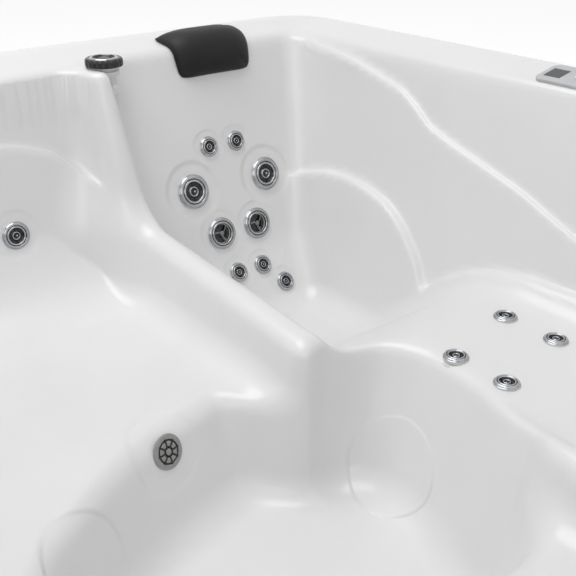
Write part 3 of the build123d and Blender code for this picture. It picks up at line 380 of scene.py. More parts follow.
def double(net):
    """The same net with twice as many cells."""
    count = net.shape[1] - 1
    fine = np.linspace(0, count, 2 * count + 1)
    known = np.arange(count + 1)
    rows = np.stack([[np.interp(fine, known, axis[:, j]) for j in range(count + 1)] for axis in net])
    rows = rows.transpose(0, 2, 1)
    return np.stack([[np.interp(fine, known, axis[i]) for i in range(2 * count + 1)] for axis in rows])


def shell_net(coarse, doublings):
    """Plan of the shell's net: drawn to the slopes coarsely first, then twice as fine each time."""
    want = spacing_map()
    net = plan_grid(coarse)
    net = slide_edge(net, want)
    net = relax(net, want, 500)
    for _ in range(doublings):
        net = double(net)
        net = relax(net, want, 160)
    return net


# ---------------------------------------------------------------- finishes

def tone(code):
    """sRGB hex to a linear colour."""
    parts = [int(code[i:i + 2], 16) / 255 for i in (0, 2, 4)]
    return tuple(p / 12.92 if p <= 0.04045 else ((p + 0.055) / 1.055) ** 2.4 for p in parts) + (1.0,)


def add(tree, kind, sockets=None, **settings):
    """Adds a node, sets it up, and fills or links its sockets."""
    made = tree.nodes.new("ShaderNode" + kind)
    for key, value in settings.items():
        setattr(made, key, value)
    for key, value in (sockets or {}).items():
        if isinstance(value, bpy.types.NodeSocket):
            tree.links.new(value, made.inputs[key])
        else:
            made.inputs[key].default_value = value
    return made


def finish(name, pale, dark, patch_mm, bump_mm, bump=0.1, stretch=(1, 1, 1), **surface):
    """A finish whose colour drifts between two tones and whose face has a fine relief."""
    made = bpy.data.materials.new(name)
    made.use_nodes = True
    tree = made.node_tree
    tree.nodes.clear()
    where = add(tree, "TexCoord")
    drawn = add(tree, "Mapping", {"Vector": where.outputs["Object"], "Scale": stretch})
    patches = {"Vector": drawn.outputs[0], "Scale": 1000 / patch_mm, "Detail": 4.0, "Roughness": 0.6}
    cloud = add(tree, "TexNoise", patches)
    tint = add(tree, "ValToRGB", {"Fac": cloud.outputs[0]})
    tint.color_ramp.elements[0].position = 0.35
    tint.color_ramp.elements[0].color = tone(dark)
    tint.color_ramp.elements[1].position = 0.65
    tint.color_ramp.elements[1].color = tone(pale)
    grain = add(tree, "TexNoise", {"Vector": drawn.outputs[0], "Scale": 1000 / bump_mm, "Detail": 2.0})
    relief = add(tree, "Bump", {"Height": grain.outputs[0], "Strength": bump, "Distance": bump_mm / 2000})
    skin = add(tree, "BsdfPrincipled", {"Base Color": tint.outputs[0], "Normal": relief.outputs[0]})
    for key, value in surface.items():
        skin.inputs[key.replace("_", " ")].default_value = value
    out = add(tree, "OutputMaterial", {"Surface": skin.outputs[0]})
    made["skin"] = skin.name
    return made


# Cast acrylic, vacuum formed: deep soft gloss over a milky white, slightly uneven from the mould
acrylic = finish("vacuum_formed_acrylic", "EAEAEA", "E7E7E7", 420, 38, 0.03, Roughness=0.3, IOR=1.49,
                 Coat_Weight=0.25, Coat_Roughness=0.12)
FINISHES = {
    "acrylic_shell": acrylic,
    # Extruded polystyrene board with a brushed grain: dull sheen, streaks along the board
    "cabinet_panel": finish("grained_polystyrene_board", "7A736C", "69635D", 60, 1.6, 0.35, (0.12, 0.12, 1),
                            Roughness=0.55, IOR=1.59),
    # Moulded polystyrene: smoother and a shade darker than the boards
    "corner_trim": finish("moulded_polystyrene_trim", "615C58", "595551", 80, 1.2, 0.25, Roughness=0.5,
                          IOR=1.59),
    # Vacuum formed ABS tray: black, dull, fine grain
    "base_tray": finish("formed_abs_tray", "262626", "202020", 120, 1.5, 0.3, Roughness=0.6, IOR=1.54),
    # Sawn pine battens: warm streaks along the length
    "frame_timber": finish("sawn_pine", "CDA878", "AF8656", 30, 1.2, 0.4, (1, 1, 0.08), Roughness=0.8,
                           IOR=1.45),
    # Zinc plated steel: bright but softened by a fine satin
    "screw_steel": finish("zinc_plated_screw_steel", "C4C6C8", "B2B4B6", 8, 0.4, 0.1, Metallic=1.0,
                          Roughness=0.35),
    # Injection moulded ABS, white: even with a low gloss
    "jet_plastic": finish("moulded_white_abs", "E4E4E2", "DDDDDB", 60, 0.8, 0.08, Roughness=0.38, IOR=1.54),
    # Chromium plated ABS: mirror bright, cool
    "jet_chrome": finish("chromium_plated_abs", "B4B6B9", "A8AAAE", 40, 12, 0.02, Metallic=1.0, Roughness=0.1),
    # Moulded acetal: mid grey with a waxy sheen
    "rotor_grey": finish("moulded_grey_acetal", "7E8082", "727476", 20, 0.6, 0.08, Roughness=0.35, IOR=1.48),
    # Moulded black ABS: deep black with a clear highlight
    "knob_black": finish("moulded_black_abs", "141415", "0E0E0F", 30, 0.5, 0.08, Roughness=0.25, IOR=1.54),
    # Moulded silver ABS: pale grey, satin
    "keypad_grey": finish("moulded_silver_abs", "C2C4C6", "B9BBBD", 60, 0.6, 0.1, Roughness=0.4, IOR=1.54),
    # Tinted cast acrylic: near black, mirror smooth
    "window_dark": finish("tinted_acrylic_window", "1B2226", "171D20", 60, 5, 0.02, Roughness=0.06, IOR=1.49),
    # Silicone rubber keys: soft white, no sharp highlight
    "button_white": finish("soft_silicone_key", "DEDEDD", "D8D8D7", 10, 0.5, 0.12, Roughness=0.5, IOR=1.41),
    # Moulded white ABS: even, a little glossier than the fittings
    "filter_white": finish("moulded_white_abs_lid", "E8E8E6", "E1E1DF", 60, 0.8, 0.08, Roughness=0.3, IOR=1.54),
    # Spun-bonded polyester: dull, slightly blue white, fibrous
    "cartridge_fabric": finish("spun_bonded_polyester", "E2E7EC", "D3DAE1", 6, 0.8, 0.5, Roughness=0.9,
                               IOR=1.5),
    # Moulded grey ABS: even light grey with a low gloss
    "disc_grey": finish("moulded_grey_abs", "9A9A98", "8F8F8D", 30, 0.7, 0.1, Roughness=0.42, IOR=1.54),
    # Ribbed polycarbonate: clear, with small wavering highlights
    "lens_clear": finish("ribbed_polycarbonate_lens", "D6DCE0", "CBD2D7", 20, 3, 0.2, Roughness=0.08, IOR=1.58,
                         Transmission_Weight=0.6),
    # Glass filled nylon: black with a faint mineral grain
    "pump_black": finish("glass_filled_nylon", "1D1D1E", "161617", 20, 0.9, 0.25, Roughness=0.5, IOR=1.53),
    # Baked enamel on cast iron: dark grey, slight orange peel
    "motor_paint": finish("baked_enamel_on_iron", "33373A", "2A2E31", 30, 1.4, 0.15, Roughness=0.35, IOR=1.52),
    # Extruded rigid vinyl: clean white, low gloss
    "pipe_white": finish("extruded_rigid_vinyl", "E6E6E3", "DEDEDB", 50, 1.0, 0.05, Roughness=0.35, IOR=1.53),
    # Flexible vinyl hose: off-white and duller, slightly uneven
    "hose_white": finish("flexible_vinyl_hose", "DFDFDC", "D3D3D0", 15, 2.5, 0.3, Roughness=0.5, IOR=1.53),
    # Brushed stainless steel: streaked round the tube
    "heater_steel": finish("brushed_stainless_steel", "BCBEC0", "A9ABAD", 20, 0.5, 0.25, (0.05, 1, 1),
                           Metallic=1.0, Roughness=0.32),
    # Moulded grey polycarbonate: mid grey, matt
    "box_grey": finish("moulded_grey_polycarbonate", "595B5F", "505256", 40, 0.8, 0.15, Roughness=0.5,
                       IOR=1.58),
    # Moulded dark ABS: charcoal, matt
    "drain_grey": finish("moulded_dark_abs", "4B4B4D", "434345", 20, 0.6, 0.1, Roughness=0.45, IOR=1.54),
    # Integral-skin polyurethane foam: black, smooth soft sheen, faint pores
    "pillow_foam": finish("integral_skin_foam", "111113", "0B0B0C", 40, 1.1, 0.2, Roughness=0.5, IOR=1.38),
}
used = {part["node"]: part["material_slot"] for part in frame["record"]["subparts"]}
for name, slot in used.items():
    holder = frame["nodes"][name]
    if holder.material_slots:
        holder.material_slots[0].material = FINISHES[slot]
    else:
        holder.data.materials.append(FINISHES[slot])


def moulded(material, marks):
    """Adds shallow round dishes to a finish: (centre, radius, edge, depth) each, in metres."""
    tree = material.node_tree
    skin = tree.nodes[material["skin"]]
    where = add(tree, "TexCoord")
    total = None
    for centre, radius, edge, depth in marks:
        away = add(tree, "VectorMath", {0: where.outputs["Object"], 1: tuple(centre)}, operation="DISTANCE")
        span = {"Value": away.outputs["Value"], "From Min": radius - edge, "From Max": radius + edge,
                "To Min": 0.0, "To Max": depth}
        rise = add(tree, "MapRange", span, interpolation_type="SMOOTHERSTEP").outputs[0]
        total = rise if total is None else add(tree, "Math", {0: total, 1: rise}, operation="ADD").outputs[0]
    fine = skin.inputs["Normal"].links[0].from_socket
    relief = add(tree, "Bump", {"Height": total, "Strength": 1.0, "Distance": 1.0, "Normal": fine})
    tree.links.new(relief.outputs[0], skin.inputs["Normal"])


def keep(bm, name, finishes, node=None, body="tub", smooth=True):
    """Makes the finished mesh a piece that rides on a body."""
    mesh = bpy.data.meshes.new(name)
    bm.to_mesh(mesh)
    bm.free()
    if smooth:
        mesh.shade_smooth()
    made = bpy.data.objects.new(name, mesh)
    bpy.context.scene.collection.objects.link(made)
    for item in finishes:
        mesh.materials.append(FINISHES[item] if isinstance(item, str) else item)
    if node:
        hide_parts(*([node] if isinstance(node, str) else node))
    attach(made, body)
    return made


# ---------------------------------------------------------------- the shell

BLANK_EAST = (724.3, 1197.8, 167.3)
BLANK_WEST = (1408.5, 1113.5, 211.5)
CAN = (SIDE - 262.0, SIDE - 262.0)
CAN_HOLE, CAN_FLOOR = 0.108, 0.8
MOUTH = Vector((-0.738, -0.738, 0.76))
MOUTH_DEEP, MOUTH_HALF_WIDTH, MOUTH_HALF_HEIGHT = 0.06, 0.094, 0.064
LIP_FOOT, LIP_THICKNESS = 0.842, 0.008
NET_START, NET_DOUBLINGS = 37, 3


FIXED_SPREAD, FIXED_LEVEL = 115, 505


def jet_places():
    """Centre and outward axis of every jet face, from the joints and from the two plain walls."""
    places = {}
    for joint in frame["record"]["behaviour"]["joints"]:
        if joint["child"].endswith(("_jet", "_rotor")):
            places[joint["child"]] = (Vector(joint["pos_m"]), Vector(joint["axis"]).normalized())
    lean = math.radians(9.5)
    depth = DECK_WIDTH + (DECK - FIXED_LEVEL) * WALL_LEAN
    out, up = math.cos(lean), math.sin(lean)
    for step in (-FIXED_SPREAD, FIXED_SPREAD):
        along = SIDE / 2 + step
        places["fixed_west_%d" % step] = (place(SIDE - depth, along, FIXED_LEVEL), Vector((out, 0, up)))
        places["fixed_south_%d" % step] = (place(along, SIDE - depth, FIXED_LEVEL), Vector((0, out, up)))
    return places


JETS = jet_places()


def shell_surface():
    """The whole upper face of the shell with its rolled lip, open at the filter's can and mouth."""
    net = shell_net(NET_START, NET_DOUBLINGS)
    z = height(net[0], net[1])
    count = net.shape[1] - 1
    bm = bmesh.new()
    bmesh.ops.create_grid(bm, x_segments=count, y_segments=count, size=1)
    bm.verts.ensure_lookup_table()
    assert len(bm.verts) == (count + 1) ** 2
    for index, vert in enumerate(bm.verts):
        i, j = index % (count + 1), index // (count + 1)
        vert.co = place(net[0][i, j], net[1][i, j], z[i, j])
    bmesh.ops.recalc_face_normals(bm, faces=bm.faces)
    if sum(face.normal.z for face in bm.faces) < 0:
        bmesh.ops.reverse_faces(bm, faces=bm.faces)
    gone = []
    can = place(CAN[0], CAN[1], 0)
    diagonal = Vector((1, 1, 0)).normalized()
    for face in bm.faces:
        middle = face.calc_center_median()
        flat = math.hypot(middle.x - can.x, middle.y - can.y)
        if flat < CAN_HOLE and middle.z > CAN_FLOOR:
            gone.append(face)
            continue
        mouth = middle - MOUTH
        near = abs(mouth.dot(diagonal)) < MOUTH_DEEP
        if near and abs(mouth.cross(diagonal).z) < MOUTH_HALF_WIDTH and abs(mouth.z) < MOUTH_HALF_HEIGHT:
            gone.append(face)
    bmesh.ops.delete(bm, geom=gone, context="FACES")
    rim = [edge for edge in bm.edges if edge.is_boundary and edge.verts[0].co.z > 0.86
           and max(abs(edge.verts[0].co.x), abs(edge.verts[0].co.y)) > 1.04]
    lip = bmesh.ops.extrude_edge_only(bm, edges=rim)
    low = [item for item in lip["geom"] if isinstance(item, bmesh.types.BMVert)]
    for vert in low:
        vert.co.z = LIP_FOOT
    foot = [item for item in lip["geom"] if isinstance(item, bmesh.types.BMEdge)
            and all(v.co.z < LIP_FOOT + 0.0001 for v in item.verts)]
    inner = bmesh.ops.extrude_edge_only(bm, edges=foot)
    for item in inner["geom"]:
        if isinstance(item, bmesh.types.BMVert):
            item.co.x *= 1 - 2000 * LIP_THICKNESS / SIDE
            item.co.y *= 1 - 2000 * LIP_THICKNESS / SIDE
    return bm


# Radius, edge and depth of the dish round each kind of fitting
DISHES = {"large": (0.080, 0.011, 0.0042), "spinning": (0.064, 0.008, 0.002),
          "back_upper": (0.045, 0.007, 0.0016), "lumbar": (0.045, 0.007, 0.0016), "fixed": (0.060, 0.009, 0.0024), "north": (0.060, 0.009, 0.0024)}


def dish_marks():
    """Centre, radius, edge and depth of every shallow round mark in the acrylic."""
    marks = []
    for name, (centre, axis) in JETS.items():
        marks += [(centre, *DISHES[kind]) for kind in DISHES if kind in name]
    low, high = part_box("footwell_disc")
    marks.append((Vector([(a + b) / 2 for a, b in zip(low, high)]), 0.084, 0.010, 0.0022))
    # plain round bosses for fittings that aren't there, on the footwell's east wall and on its west side
    marks.append((place(*BLANK_EAST), 0.109, 0.006, -0.0030))
    marks.append((place(*BLANK_WEST), 0.109, 0.008, 0.0030))
    return marks


moulded(acrylic, dish_marks())
shell = keep(shell_surface(), "tub_shell", ["acrylic_shell"], "shell")


# ---------------------------------------------------------------- jets

def turned(bm, profile, finishes, segments=72):
    """Turns a profile of (radius, height) in millimetres about the z axis; each run has its finish."""
    points = [bm.verts.new((r / 1000, 0, h / 1000)) for r, h in profile]
    runs = [bm.edges.new(pair) for pair in zip(points, points[1:])]
    bm.faces.index_update()
    first = len(bm.faces)
    bmesh.ops.spin(bm, geom=points + runs, cent=(0, 0, 0), axis=(0, 0, 1), angle=2 * math.pi, steps=segments,
                   use_merge=True)
    middles = [((a[0] + b[0]) / 2000, (a[1] + b[1]) / 2000) for a, b in zip(profile, profile[1:])]
    bm.faces.ensure_lookup_table()
    for face in bm.faces[first:]:
        r = sum(math.hypot(v.co.x, v.co.y) for v in face.verts) / len(face.verts)
        h = sum(v.co.z for v in face.verts) / len(face.verts)
        best = min(range(len(middles)), key=lambda k: (middles[k][0] - r) ** 2 + (middles[k][1] - h) ** 2)
        face.material_index = finishes[best]
    return bm


def settle(bm, centre, axis):
    """Closes the seams, points the faces outwards and moves the piece onto its place."""
    bmesh.ops.remove_doubles(bm, verts=bm.verts, dist=0.00002)
    bmesh.ops.recalc_face_normals(bm, faces=bm.faces)
    turn = axis.to_track_quat("Z", "Y").to_matrix().to_4x4()
    bmesh.ops.transform(bm, matrix=Matrix.Translation(centre) @ turn, verts=bm.verts)
    return bm


CHROME, BLACK, GREY = 0, 1, 2


def lugs(bm, count, radius, width, low, high, number, length=4.0):
    """Small bevelled bridges between two rings."""
    for k in range(count):
        cube = bmesh.ops.create_cube(bm, size=0.001)["verts"]
        bmesh.ops.scale(bm, vec=(length, width, high - low), verts=cube)
        edges = list({e for v in cube for e in v.link_edges})
        faces = {f for v in cube for f in v.link_faces}
        for face in faces:
            face.material_index = number
        made = bmesh.ops.bevel(bm, geom=edges, offset=0.0006, segments=2, profile=0.5, affect="EDGES", material=-1)
        cube = list({v for f in made["faces"] for v in f.verts} | {v for v in cube if v.is_valid})
        bmesh.ops.translate(bm, vec=(radius / 1000, 0, (low + high) / 2000), verts=cube)
        bmesh.ops.rotate(bm, cent=(0, 0, 0), matrix=Matrix.Rotation(2 * math.pi * k / count, 3, "Z"), verts=cube)


def jet_face(bm, r, top):
    """Stepped chromium rings round a black throat with a bright nozzle, for one face of radius r."""
    profile = [(r, 3.3), (r, 0.42 * top), (0.975 * r, 0.52 * top), (0.95 * r, 0.50 * top), (0.94 * r, 0.60 * top),
               (0.90 * r, 0.82 * top), (0.84 * r, 0.93 * top), (0.77 * r, 0.92 * top), (0.74 * r, 0.84 * top),
               (0.725 * r, 0.60 * top), (0.70 * r, 0.60 * top), (0.69 * r, 0.86 * top), (0.66 * r, 0.98 * top),
               (0.62 * r, 1.0 * top), (0.575 * r, 0.93 * top), (0.555 * r, 0.78 * top), (0.55 * r, 0.42 * top),
               (0.42 * r, 0.38 * top), (0.30 * r, 0.38 * top), (0.295 * r, 0.66 * top), (0.275 * r, 0.76 * top),
               (0.235 * r, 0.76 * top), (0.215 * r, 0.66 * top), (0.21 * r, 0.36 * top), (0.1 * r, 0.35 * top),
               (0.001, 0.35 * top), (0.001, 3.3), (r, 3.3)]
    finishes = ([CHROME] * 8 + [BLACK] * 2 + [CHROME] * 5 + [BLACK] * 3 + [CHROME] * 4 + [BLACK] * 4 + [CHROME])
    turned(bm, profile, finishes)
    # small off-centre tip in the nozzle, which shows how far the face is turned
    tip = bmesh.new()
    turned(tip, [(0.075 * r, 0.35 * top), (0.075 * r, 0.52 * top), (0.055 * r, 0.58 * top), (0.03 * r, 0.56 * top),
                 (0.001, 0.50 * top), (0.001, 0.35 * top), (0.075 * r, 0.35 * top)], [CHROME] * 4 + [BLACK] * 2, 24)
    bmesh.ops.translate(tip, vec=(0.07 * r / 1000, 0, 0), verts=tip.verts)
    join_in(bm, tip)
    lugs(bm, 4, 0.425 * r, 0.05 * r, 0.36 * top, 0.56 * top, BLACK, 0.24 * r)


def join_in(bm, other):
    """Adds another bmesh's faces to this one."""
    mesh = bpy.data.meshes.new("joined")
    other.to_mesh(mesh)
    other.free()
    bm.from_mesh(mesh)
    bpy.data.meshes.remove(mesh)


JET_FINISH = ["jet_chrome", "knob_black", "rotor_grey"]
# Radius and height of each kind of face
FACE_SIZES = {"large": (48.0, 11.0), "north": (35.0, 9.8), "leg": (27.0, 9.8), "upper": (28.5, 9.8),
              "lower": (28.5, 9.8)}
FIXED_RING = (45.0, 10.5)
ROTOR_RADIUS = 26.0
for name, (centre, axis) in JETS.items():
    if not name.endswith("_jet"):
        continue
    size = [word for word in FACE_SIZES if word in name][0]
    bm = bmesh.new()
    jet_face(bm, *FACE_SIZES[size])
    keep(settle(bm, centre, axis), name + "_face", JET_FINISH, name, name)

bm = bmesh.new()
for name, (centre, axis) in JETS.items():
    ring = bmesh.new()
    if name.startswith("fixed"):
        jet_face(ring, *FACE_SIZES["north"])
    elif name.endswith("_rotor"):
        r, top = FIXED_RING
        turned(ring, [(r, 3.3), (r, 0.42 * top), (0.975 * r, 0.52 * top), (0.95 * r, 0.50 * top), (0.94 * r, 0.62 * top),
                      (0.90 * r, 0.84 * top), (0.85 * r, 0.93 * top), (0.80 * r, 0.90 * top), (0.785 * r, 0.62 * top),
                      (0.76 * r, 0.62 * top), (0.75 * r, 0.88 * top), (0.71 * r, 1.0 * top), (0.66 * r, 0.98 * top),
                      (0.63 * r, 0.84 * top), (0.62 * r, 3.3), (r, 3.3)],
               [CHROME] * 7 + [BLACK] * 2 + [CHROME] * 4 + [BLACK] * 2)
    else:
        ring.free()
        continue
    join_in(bm, settle(ring, centre, axis))
keep(bm, "fixed_jet_rings", JET_FINISH, "fixed_jet_faces")

for name, (centre, axis) in JETS.items():
    if not name.endswith("_rotor"):
        continue
    bm = bmesh.new()
    r = ROTOR_RADIUS
    turned(bm, [(r, -2.0), (r, 1.0), (0.96 * r, 1.8), (0.9 * r, 1.2), (0.3 * r, 0.2), (0.29 * r, 5.2),
                (0.24 * r, 6.6), (0.12 * r, 7.4), (0.001, 7.6), (0.001, -2.0), (r, -2.0)],
           [BLACK] * 5 + [GREY] * 4 + [BLACK])
    for k in range(3):
        vane = bmesh.ops.create_grid(bm, x_segments=14, y_segments=3, size=0.5)["verts"]
        for vert in vane:
            along, over = vert.co.x + 0.5, vert.co.y
            reach = 5 + along * (0.93 * r - 5)
            swing = 0.35 * along
            wide = (3.4 + 3.2 * along) * over
            lift = 4.6 + 2.0 * over * (1 + along) + 1.2 * along
            vert.co = Vector((reach * math.cos(swing) - wide * math.sin(swing),
                              reach * math.sin(swing) + wide * math.cos(swing), lift)) / 1000
        faces = list({f for v in vane for f in v.link_faces})
        body = bmesh.ops.solidify(bm, geom=faces, thickness=0.0016)
        everything = list({v for f in bm.faces if f in faces or f in body["geom"] for v in f.verts})
        for face in {f for v in everything for f in v.link_faces}:
            face.material_index = GREY
        round_axis = Matrix.Rotation(2 * math.pi * k / 3 + 0.5, 3, "Z")
        bmesh.ops.rotate(bm, cent=(0, 0, 0), matrix=round_axis, verts=everything)
    keep(settle(bm, centre, axis), name + "_vanes", JET_FINISH, name, name)


# ---------------------------------------------------------------- slotted disc in the footwell

low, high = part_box("footwell_disc")
middle = Vector([(a + b) / 2 for a, b in zip(low, high)])
corner_a, corner_b = place(*FOOT_NORTH, FLOOR), place(*FOOT_TURN, FLOOR)
wall_run = (corner_b - corner_a).normalized()
facing = Vector((wall_run.y, -wall_run.x, 0))
facing = facing if facing.y < 0 else -facing
facing = (facing * FOOT_COS + Vector((0, 0, FOOT_LEAN * FOOT_COS))).normalized()
bm = bmesh.new()
turned(bm, [(36.5, 0.6), (36.5, 2.6), (35.4, 3.6), (33.0, 4.1), (28.0, 4.6), (25.6, 4.6), (25.2, 3.2), (22.2, 3.2),
            (21.8, 4.8), (11.5, 5.2), (11.1, 3.4), (7.2, 3.4), (6.9, 5.4), (4.5, 6.2), (0.001, 6.4), (0.001, 0.6),
            (36.5, 0.6)],
       [0] * 5 + [1] * 3 + [0] + [1] * 3 + [0] * 5)
lugs(bm, 8, 17.5, 4.2, 4.4, 5.6, 1, 19.0)
proud = float(hollow(*[np.array(1100 - 1000 * middle[k]) for k in (0, 1)], np.array(1000 * middle[2]))) / 1000
keep(settle(bm, middle - facing * proud, facing), "footwell_disc_face", ["disc_grey", "knob_black"], "footwell_disc")


# ---------------------------------------------------------------- cabinet boards

BOARD_COUNT, BOARD_GAP, BOARD_THICKNESS, BOARD_BEVEL, SHEET_SETBACK = 8, 0.0035, 0.012, 0.0026, 0.006


def boards(node, body):
    """Bevelled boards on a back sheet, in the space of one plain panel."""
    low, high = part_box(node)
    thin = 0 if high[0] - low[0] < high[1] - low[1] else 1
    outward = 1 if low[thin] + high[thin] > 0 else -1
    bm = bmesh.new()
    count, gap = BOARD_COUNT, BOARD_GAP
    pitch = (high[2] - low[2] + gap) / count
    for k in range(-1, count):
        a, b = list(low), list(high)
        if k < 0:
            b[thin] -= SHEET_SETBACK if outward > 0 else 0
            a[thin] += SHEET_SETBACK if outward < 0 else 0
            a[2], b[2] = low[2] + 0.002, high[2] - 0.002
        else:
            a[thin] = high[thin] - BOARD_THICKNESS if outward > 0 else low[thin]
            b[thin] = high[thin] if outward > 0 else low[thin] + BOARD_THICKNESS
            a[2], b[2] = low[2] + k * pitch, low[2] + (k + 1) * pitch - gap
        cube = bmesh.ops.create_cube(bm, size=1)["verts"]
        bmesh.ops.scale(bm, vec=[q - p for p, q in zip(a, b)], verts=cube)
        bmesh.ops.translate(bm, vec=[(p + q) / 2 for p, q in zip(a, b)], verts=cube)
        if k >= 0:
            edges = list({e for v in cube for e in v.link_edges})
            bmesh.ops.bevel(bm, geom=edges, offset=BOARD_BEVEL, segments=3, profile=0.5, affect="EDGES", material=-1)
    bmesh.ops.recalc_face_normals(bm, faces=bm.faces)
    made = keep(bm, node + "_boards", ["cabinet_panel"], node, body)
    made.data.shade_flat()
    return made


for node in ("front_panel", "rear_panel", "left_panel", "right_panel"):
    boards(node, "access_panel" if node == "front_panel" else "tub")


# ---------------------------------------------------------------- knobs

KNOB_RADIUS, SCALLOPS, SCALLOP_DEPTH = 47.0, 18, 0.06


def knob(bm):
    """Low scalloped knob with a bright inlay round its dished top."""
    r = KNOB_RADIUS
    turned(bm, [(r * 0.86, 3.3), (r * 0.985, 4.2), (r, 7.5), (r, 17.5), (r * 0.985, 20.5), (r * 0.95, 22.8),
                (r * 0.90, 23.8), (r * 0.80, 24.4), (r * 0.785, 23.2), (r * 0.765, 23.0), (r * 0.75, 24.9),
                (r * 0.70, 26.2), (r * 0.64, 26.4), (r * 0.60, 25.6), (r * 0.585, 22.4), (r * 0.50, 20.6),
                (r * 0.36, 20.4), (r * 0.33, 22.0), (r * 0.28, 23.4),
                (r * 0.12, 24.4), (0.001, 24.6), (0.001, 3.3), (r * 0.86, 3.3)],
           [0] * 9 + [1] * 4 + [0] * 9, 180)
    for vert in bm.verts:
        flat = math.hypot(vert.co.x, vert.co.y)
        if flat > 0.925 * r / 1000 and vert.co.z > 0.0045:
            wave = 0.5 + 0.5 * math.cos(SCALLOPS * math.atan2(vert.co.y, vert.co.x))
            factor = 1 - SCALLOP_DEPTH * wave ** 3
            vert.co.x *= factor
            vert.co.y *= factor


for name in ("air_control_knob", "water_diverter_knob", "second_air_control_knob"):
    low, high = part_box(name)
    bm = bmesh.new()
    knob(bm)
    centre = Vector(((low[0] + high[0]) / 2, (low[1] + high[1]) / 2, 0.87))
    keep(settle(bm, centre, Vector((0, 0, 1))), name + "_top", ["knob_black", "jet_chrome"], name, name)


# ---------------------------------------------------------------- pillows

PILLOW_ROWS, PILLOW_COLUMNS = 44, 48
PILLOW_HALF_WIDTH, PILLOW_START, PILLOW_FOOT = 133.0, 94.0, 798.0


def pillow_skin(bm, side, middle, half_width, start, foot, crown):
    """A closed cushion lapped over the basin's edge: its back lies on the shell, its front is crowned."""
    rows, columns = PILLOW_ROWS, PILLOW_COLUMNS
    drops = np.linspace(0, 1, rows + 1)
    face_line = np.linspace(start, 300, 500)
    if side == "north":
        under = height(np.full(500, middle), face_line)
    elif side == "west":
        under = height(SIDE - face_line, np.full(500, middle))
    else:
        under = height(np.full(500, middle), SIDE - face_line)
    path = np.stack([face_line, under])
    length = np.concatenate([[0], np.cumsum(np.hypot(*np.diff(path, axis=1)))])
    last = length[np.argmax(under < foot)]
    run = drops * last
    d = np.interp(run, length, path[0])
    z = np.interp(run, length, path[1])
    kernel = np.ones(9) / 9
    smooth_d = np.convolve(np.pad(d, 4, mode="edge"), kernel, "valid")
    smooth_z = np.convolve(np.pad(z, 4, mode="edge"), kernel, "valid")
    along = np.stack([np.gradient(smooth_d), np.gradient(smooth_z)])
    along = along / np.hypot(*along)
    normal = np.stack([-along[1], along[0]])
    if normal[1].mean() < 0:
        normal = -normal
    for half in (0, 1):
        grid = bmesh.ops.create_grid(bm, x_segments=columns, y_segments=rows, size=1)["verts"]
        for index, vert in enumerate(grid):
            a = 2 * (index % (columns + 1)) / columns - 1
            b = 2 * (index // (columns + 1)) / rows - 1
            # rounded corners, and sides that draw in a little between them
            turn = 1 / max(1e-6, (abs(a) ** 9 + abs(b) ** 9) ** (1 / 9) / max(abs(a), abs(b), 1e-6))
            pa, pb = a * turn, b * turn
            pa *= (1 - 0.02 * (1 - b * b)) * (0.93 - 0.07 * b)
            pb *= 1 - 0.02 * (1 - a * a)
            k = (pb + 1) / 2 * rows
            low = min(int(k), rows - 1)
            f = k - low
            dd = d[low] * (1 - f) + d[low + 1] * f
            zz = z[low] * (1 - f) + z[low + 1] * f
            nd = normal[0][low] * (1 - f) + normal[0][low + 1] * f
            nz = normal[1][low] * (1 - f) + normal[1][low + 1] * f
            edge = max(abs(a), abs(b))
            full = (1 - abs(a) ** 3.4) ** 0.55 * (1 - abs(b) ** 2.6) ** 0.55
            seam = math.exp(-((edge - 0.94) / 0.016) ** 2) * 1.6 if edge < 0.99 else 0.0
            rise = 2.2 + crown * full - seam if half else 1.4 - 0.2 * full
            if edge > 0.999:
                rise = 2.4
            across = pa * half_width
            out, up = dd + nd * rise, zz + nz * rise
            if side == "north":
                vert.co = place(middle + across, out, up)
            elif side == "west":
                vert.co = place(SIDE - out, middle + across, up)
            else:
                vert.co = place(middle + across, SIDE - out, up)
    bmesh.ops.remove_doubles(bm, verts=bm.verts, dist=0.0002)
    bmesh.ops.recalc_face_normals(bm, faces=bm.faces)


def soften(made):
    """One level of subdivision over the cushion."""
    detail = made.modifiers.new("soft", "SUBSURF")
    detail.levels = detail.render_levels = 1


bm = bmesh.new()
pillow_skin(bm, "north", 472.0, 138.0, 92.0, PILLOW_FOOT, 36.0)
soften(keep(bm, "lounger_headrest", ["pillow_foam"], "lounger_pillow"))
for side, name in (("west", "west_seat_headrest"), ("south", "south_seat_headrest")):
    bm = bmesh.new()
    pillow_skin(bm, side, SIDE / 2, PILLOW_HALF_WIDTH, PILLOW_START, PILLOW_FOOT, 33.0)
    soften(keep(bm, name, ["pillow_foam"], "seat_pillows"))


# ---------------------------------------------------------------- camera, light and ground

LENS, SENSOR = 55.75, 36
VIEW_FROM = (-0.776, -1.160, 1.350)
VIEW_DOWN, VIEW_TURN = 26.0, 38.9
eye = bpy.data.cameras.new("camera")
eye.sensor_width = SENSOR
eye.lens = LENS
camera = bpy.data.objects.new("camera", eye)
camera.location = VIEW_FROM
camera.rotation_euler = (math.radians(90 - VIEW_DOWN), 0, -math.radians(VIEW_TURN))
bpy.context.scene.collection.objects.link(camera)
bpy.context.scene.camera = camera

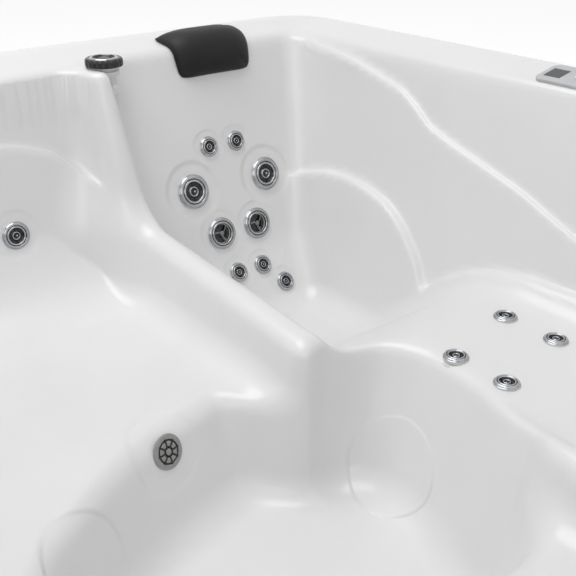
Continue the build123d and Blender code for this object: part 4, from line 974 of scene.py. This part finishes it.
sky = bpy.data.worlds.new("studio")
sky.use_nodes = True
sky.node_tree.nodes.clear()
ray = add(sky.node_tree, "LightPath")
seen = ray.outputs["Is Camera Ray"]
for other in ("Is Glossy Ray", "Is Transmission Ray"):
    seen = add(sky.node_tree, "Math", {0: seen, 1: ray.outputs[other]}, operation="MAXIMUM").outputs[0]
soft = add(sky.node_tree, "Background", {"Color": (1, 1, 1, 1), "Strength": 0.425})
white = add(sky.node_tree, "Background", {"Color": (1, 1, 1, 1), "Strength": 1.0})
mixed = add(sky.node_tree, "MixShader", {0: seen, 1: soft.outputs[0], 2: white.outputs[0]})
add(sky.node_tree, "OutputWorld", {"Surface": mixed.outputs[0]})
bpy.context.scene.world = sky


def lamp(name, power, size, at, towards):
    """A round soft lamp aimed at a point."""
    data = bpy.data.lights.new(name, "AREA")
    data.shape = "DISK"
    data.size = size
    data.energy = power
    made = bpy.data.objects.new(name, data)
    made.location = at
    made.rotation_euler = (Vector(towards) - Vector(at)).to_track_quat("-Z", "Y").to_euler()
    bpy.context.scene.collection.objects.link(made)


lamp("overhead", 84, 3.2, (-0.6, 0.9, 4.2), (0, 0, 0.6))
lamp("fill", 20, 2.4, (-2.6, -2.2, 2.4), (0.3, 0.4, 0.4))

bm = bmesh.new()
bmesh.ops.create_circle(bm, cap_ends=True, segments=96, radius=14)
bmesh.ops.translate(bm, verts=bm.verts, vec=(0, 0, -0.001))
ground = bpy.data.meshes.new("floor")
bm.to_mesh(ground)
bm.free()
floor = bpy.data.objects.new("floor", ground)
bpy.context.scene.collection.objects.link(floor)
paper = bpy.data.materials.new("matt_white_paper")
paper.use_nodes = True
paper.node_tree.nodes.clear()
ray = add(paper.node_tree, "LightPath")
dull = add(paper.node_tree, "BsdfDiffuse", {"Color": tone("F4F4F4")})
seen = add(paper.node_tree, "Math", {0: ray.outputs["Is Camera Ray"], 1: 0.55}, operation="MULTIPLY")
glow = add(paper.node_tree, "Emission", {"Color": (1, 1, 1, 1), "Strength": seen.outputs[0]})
part = add(paper.node_tree, "AddShader", {0: dull.outputs[0], 1: glow.outputs[0]})
add(paper.node_tree, "OutputMaterial", {"Surface": part.outputs[0]})
ground.materials.append(paper)

bpy.context.scene.view_settings.view_transform = "Standard"
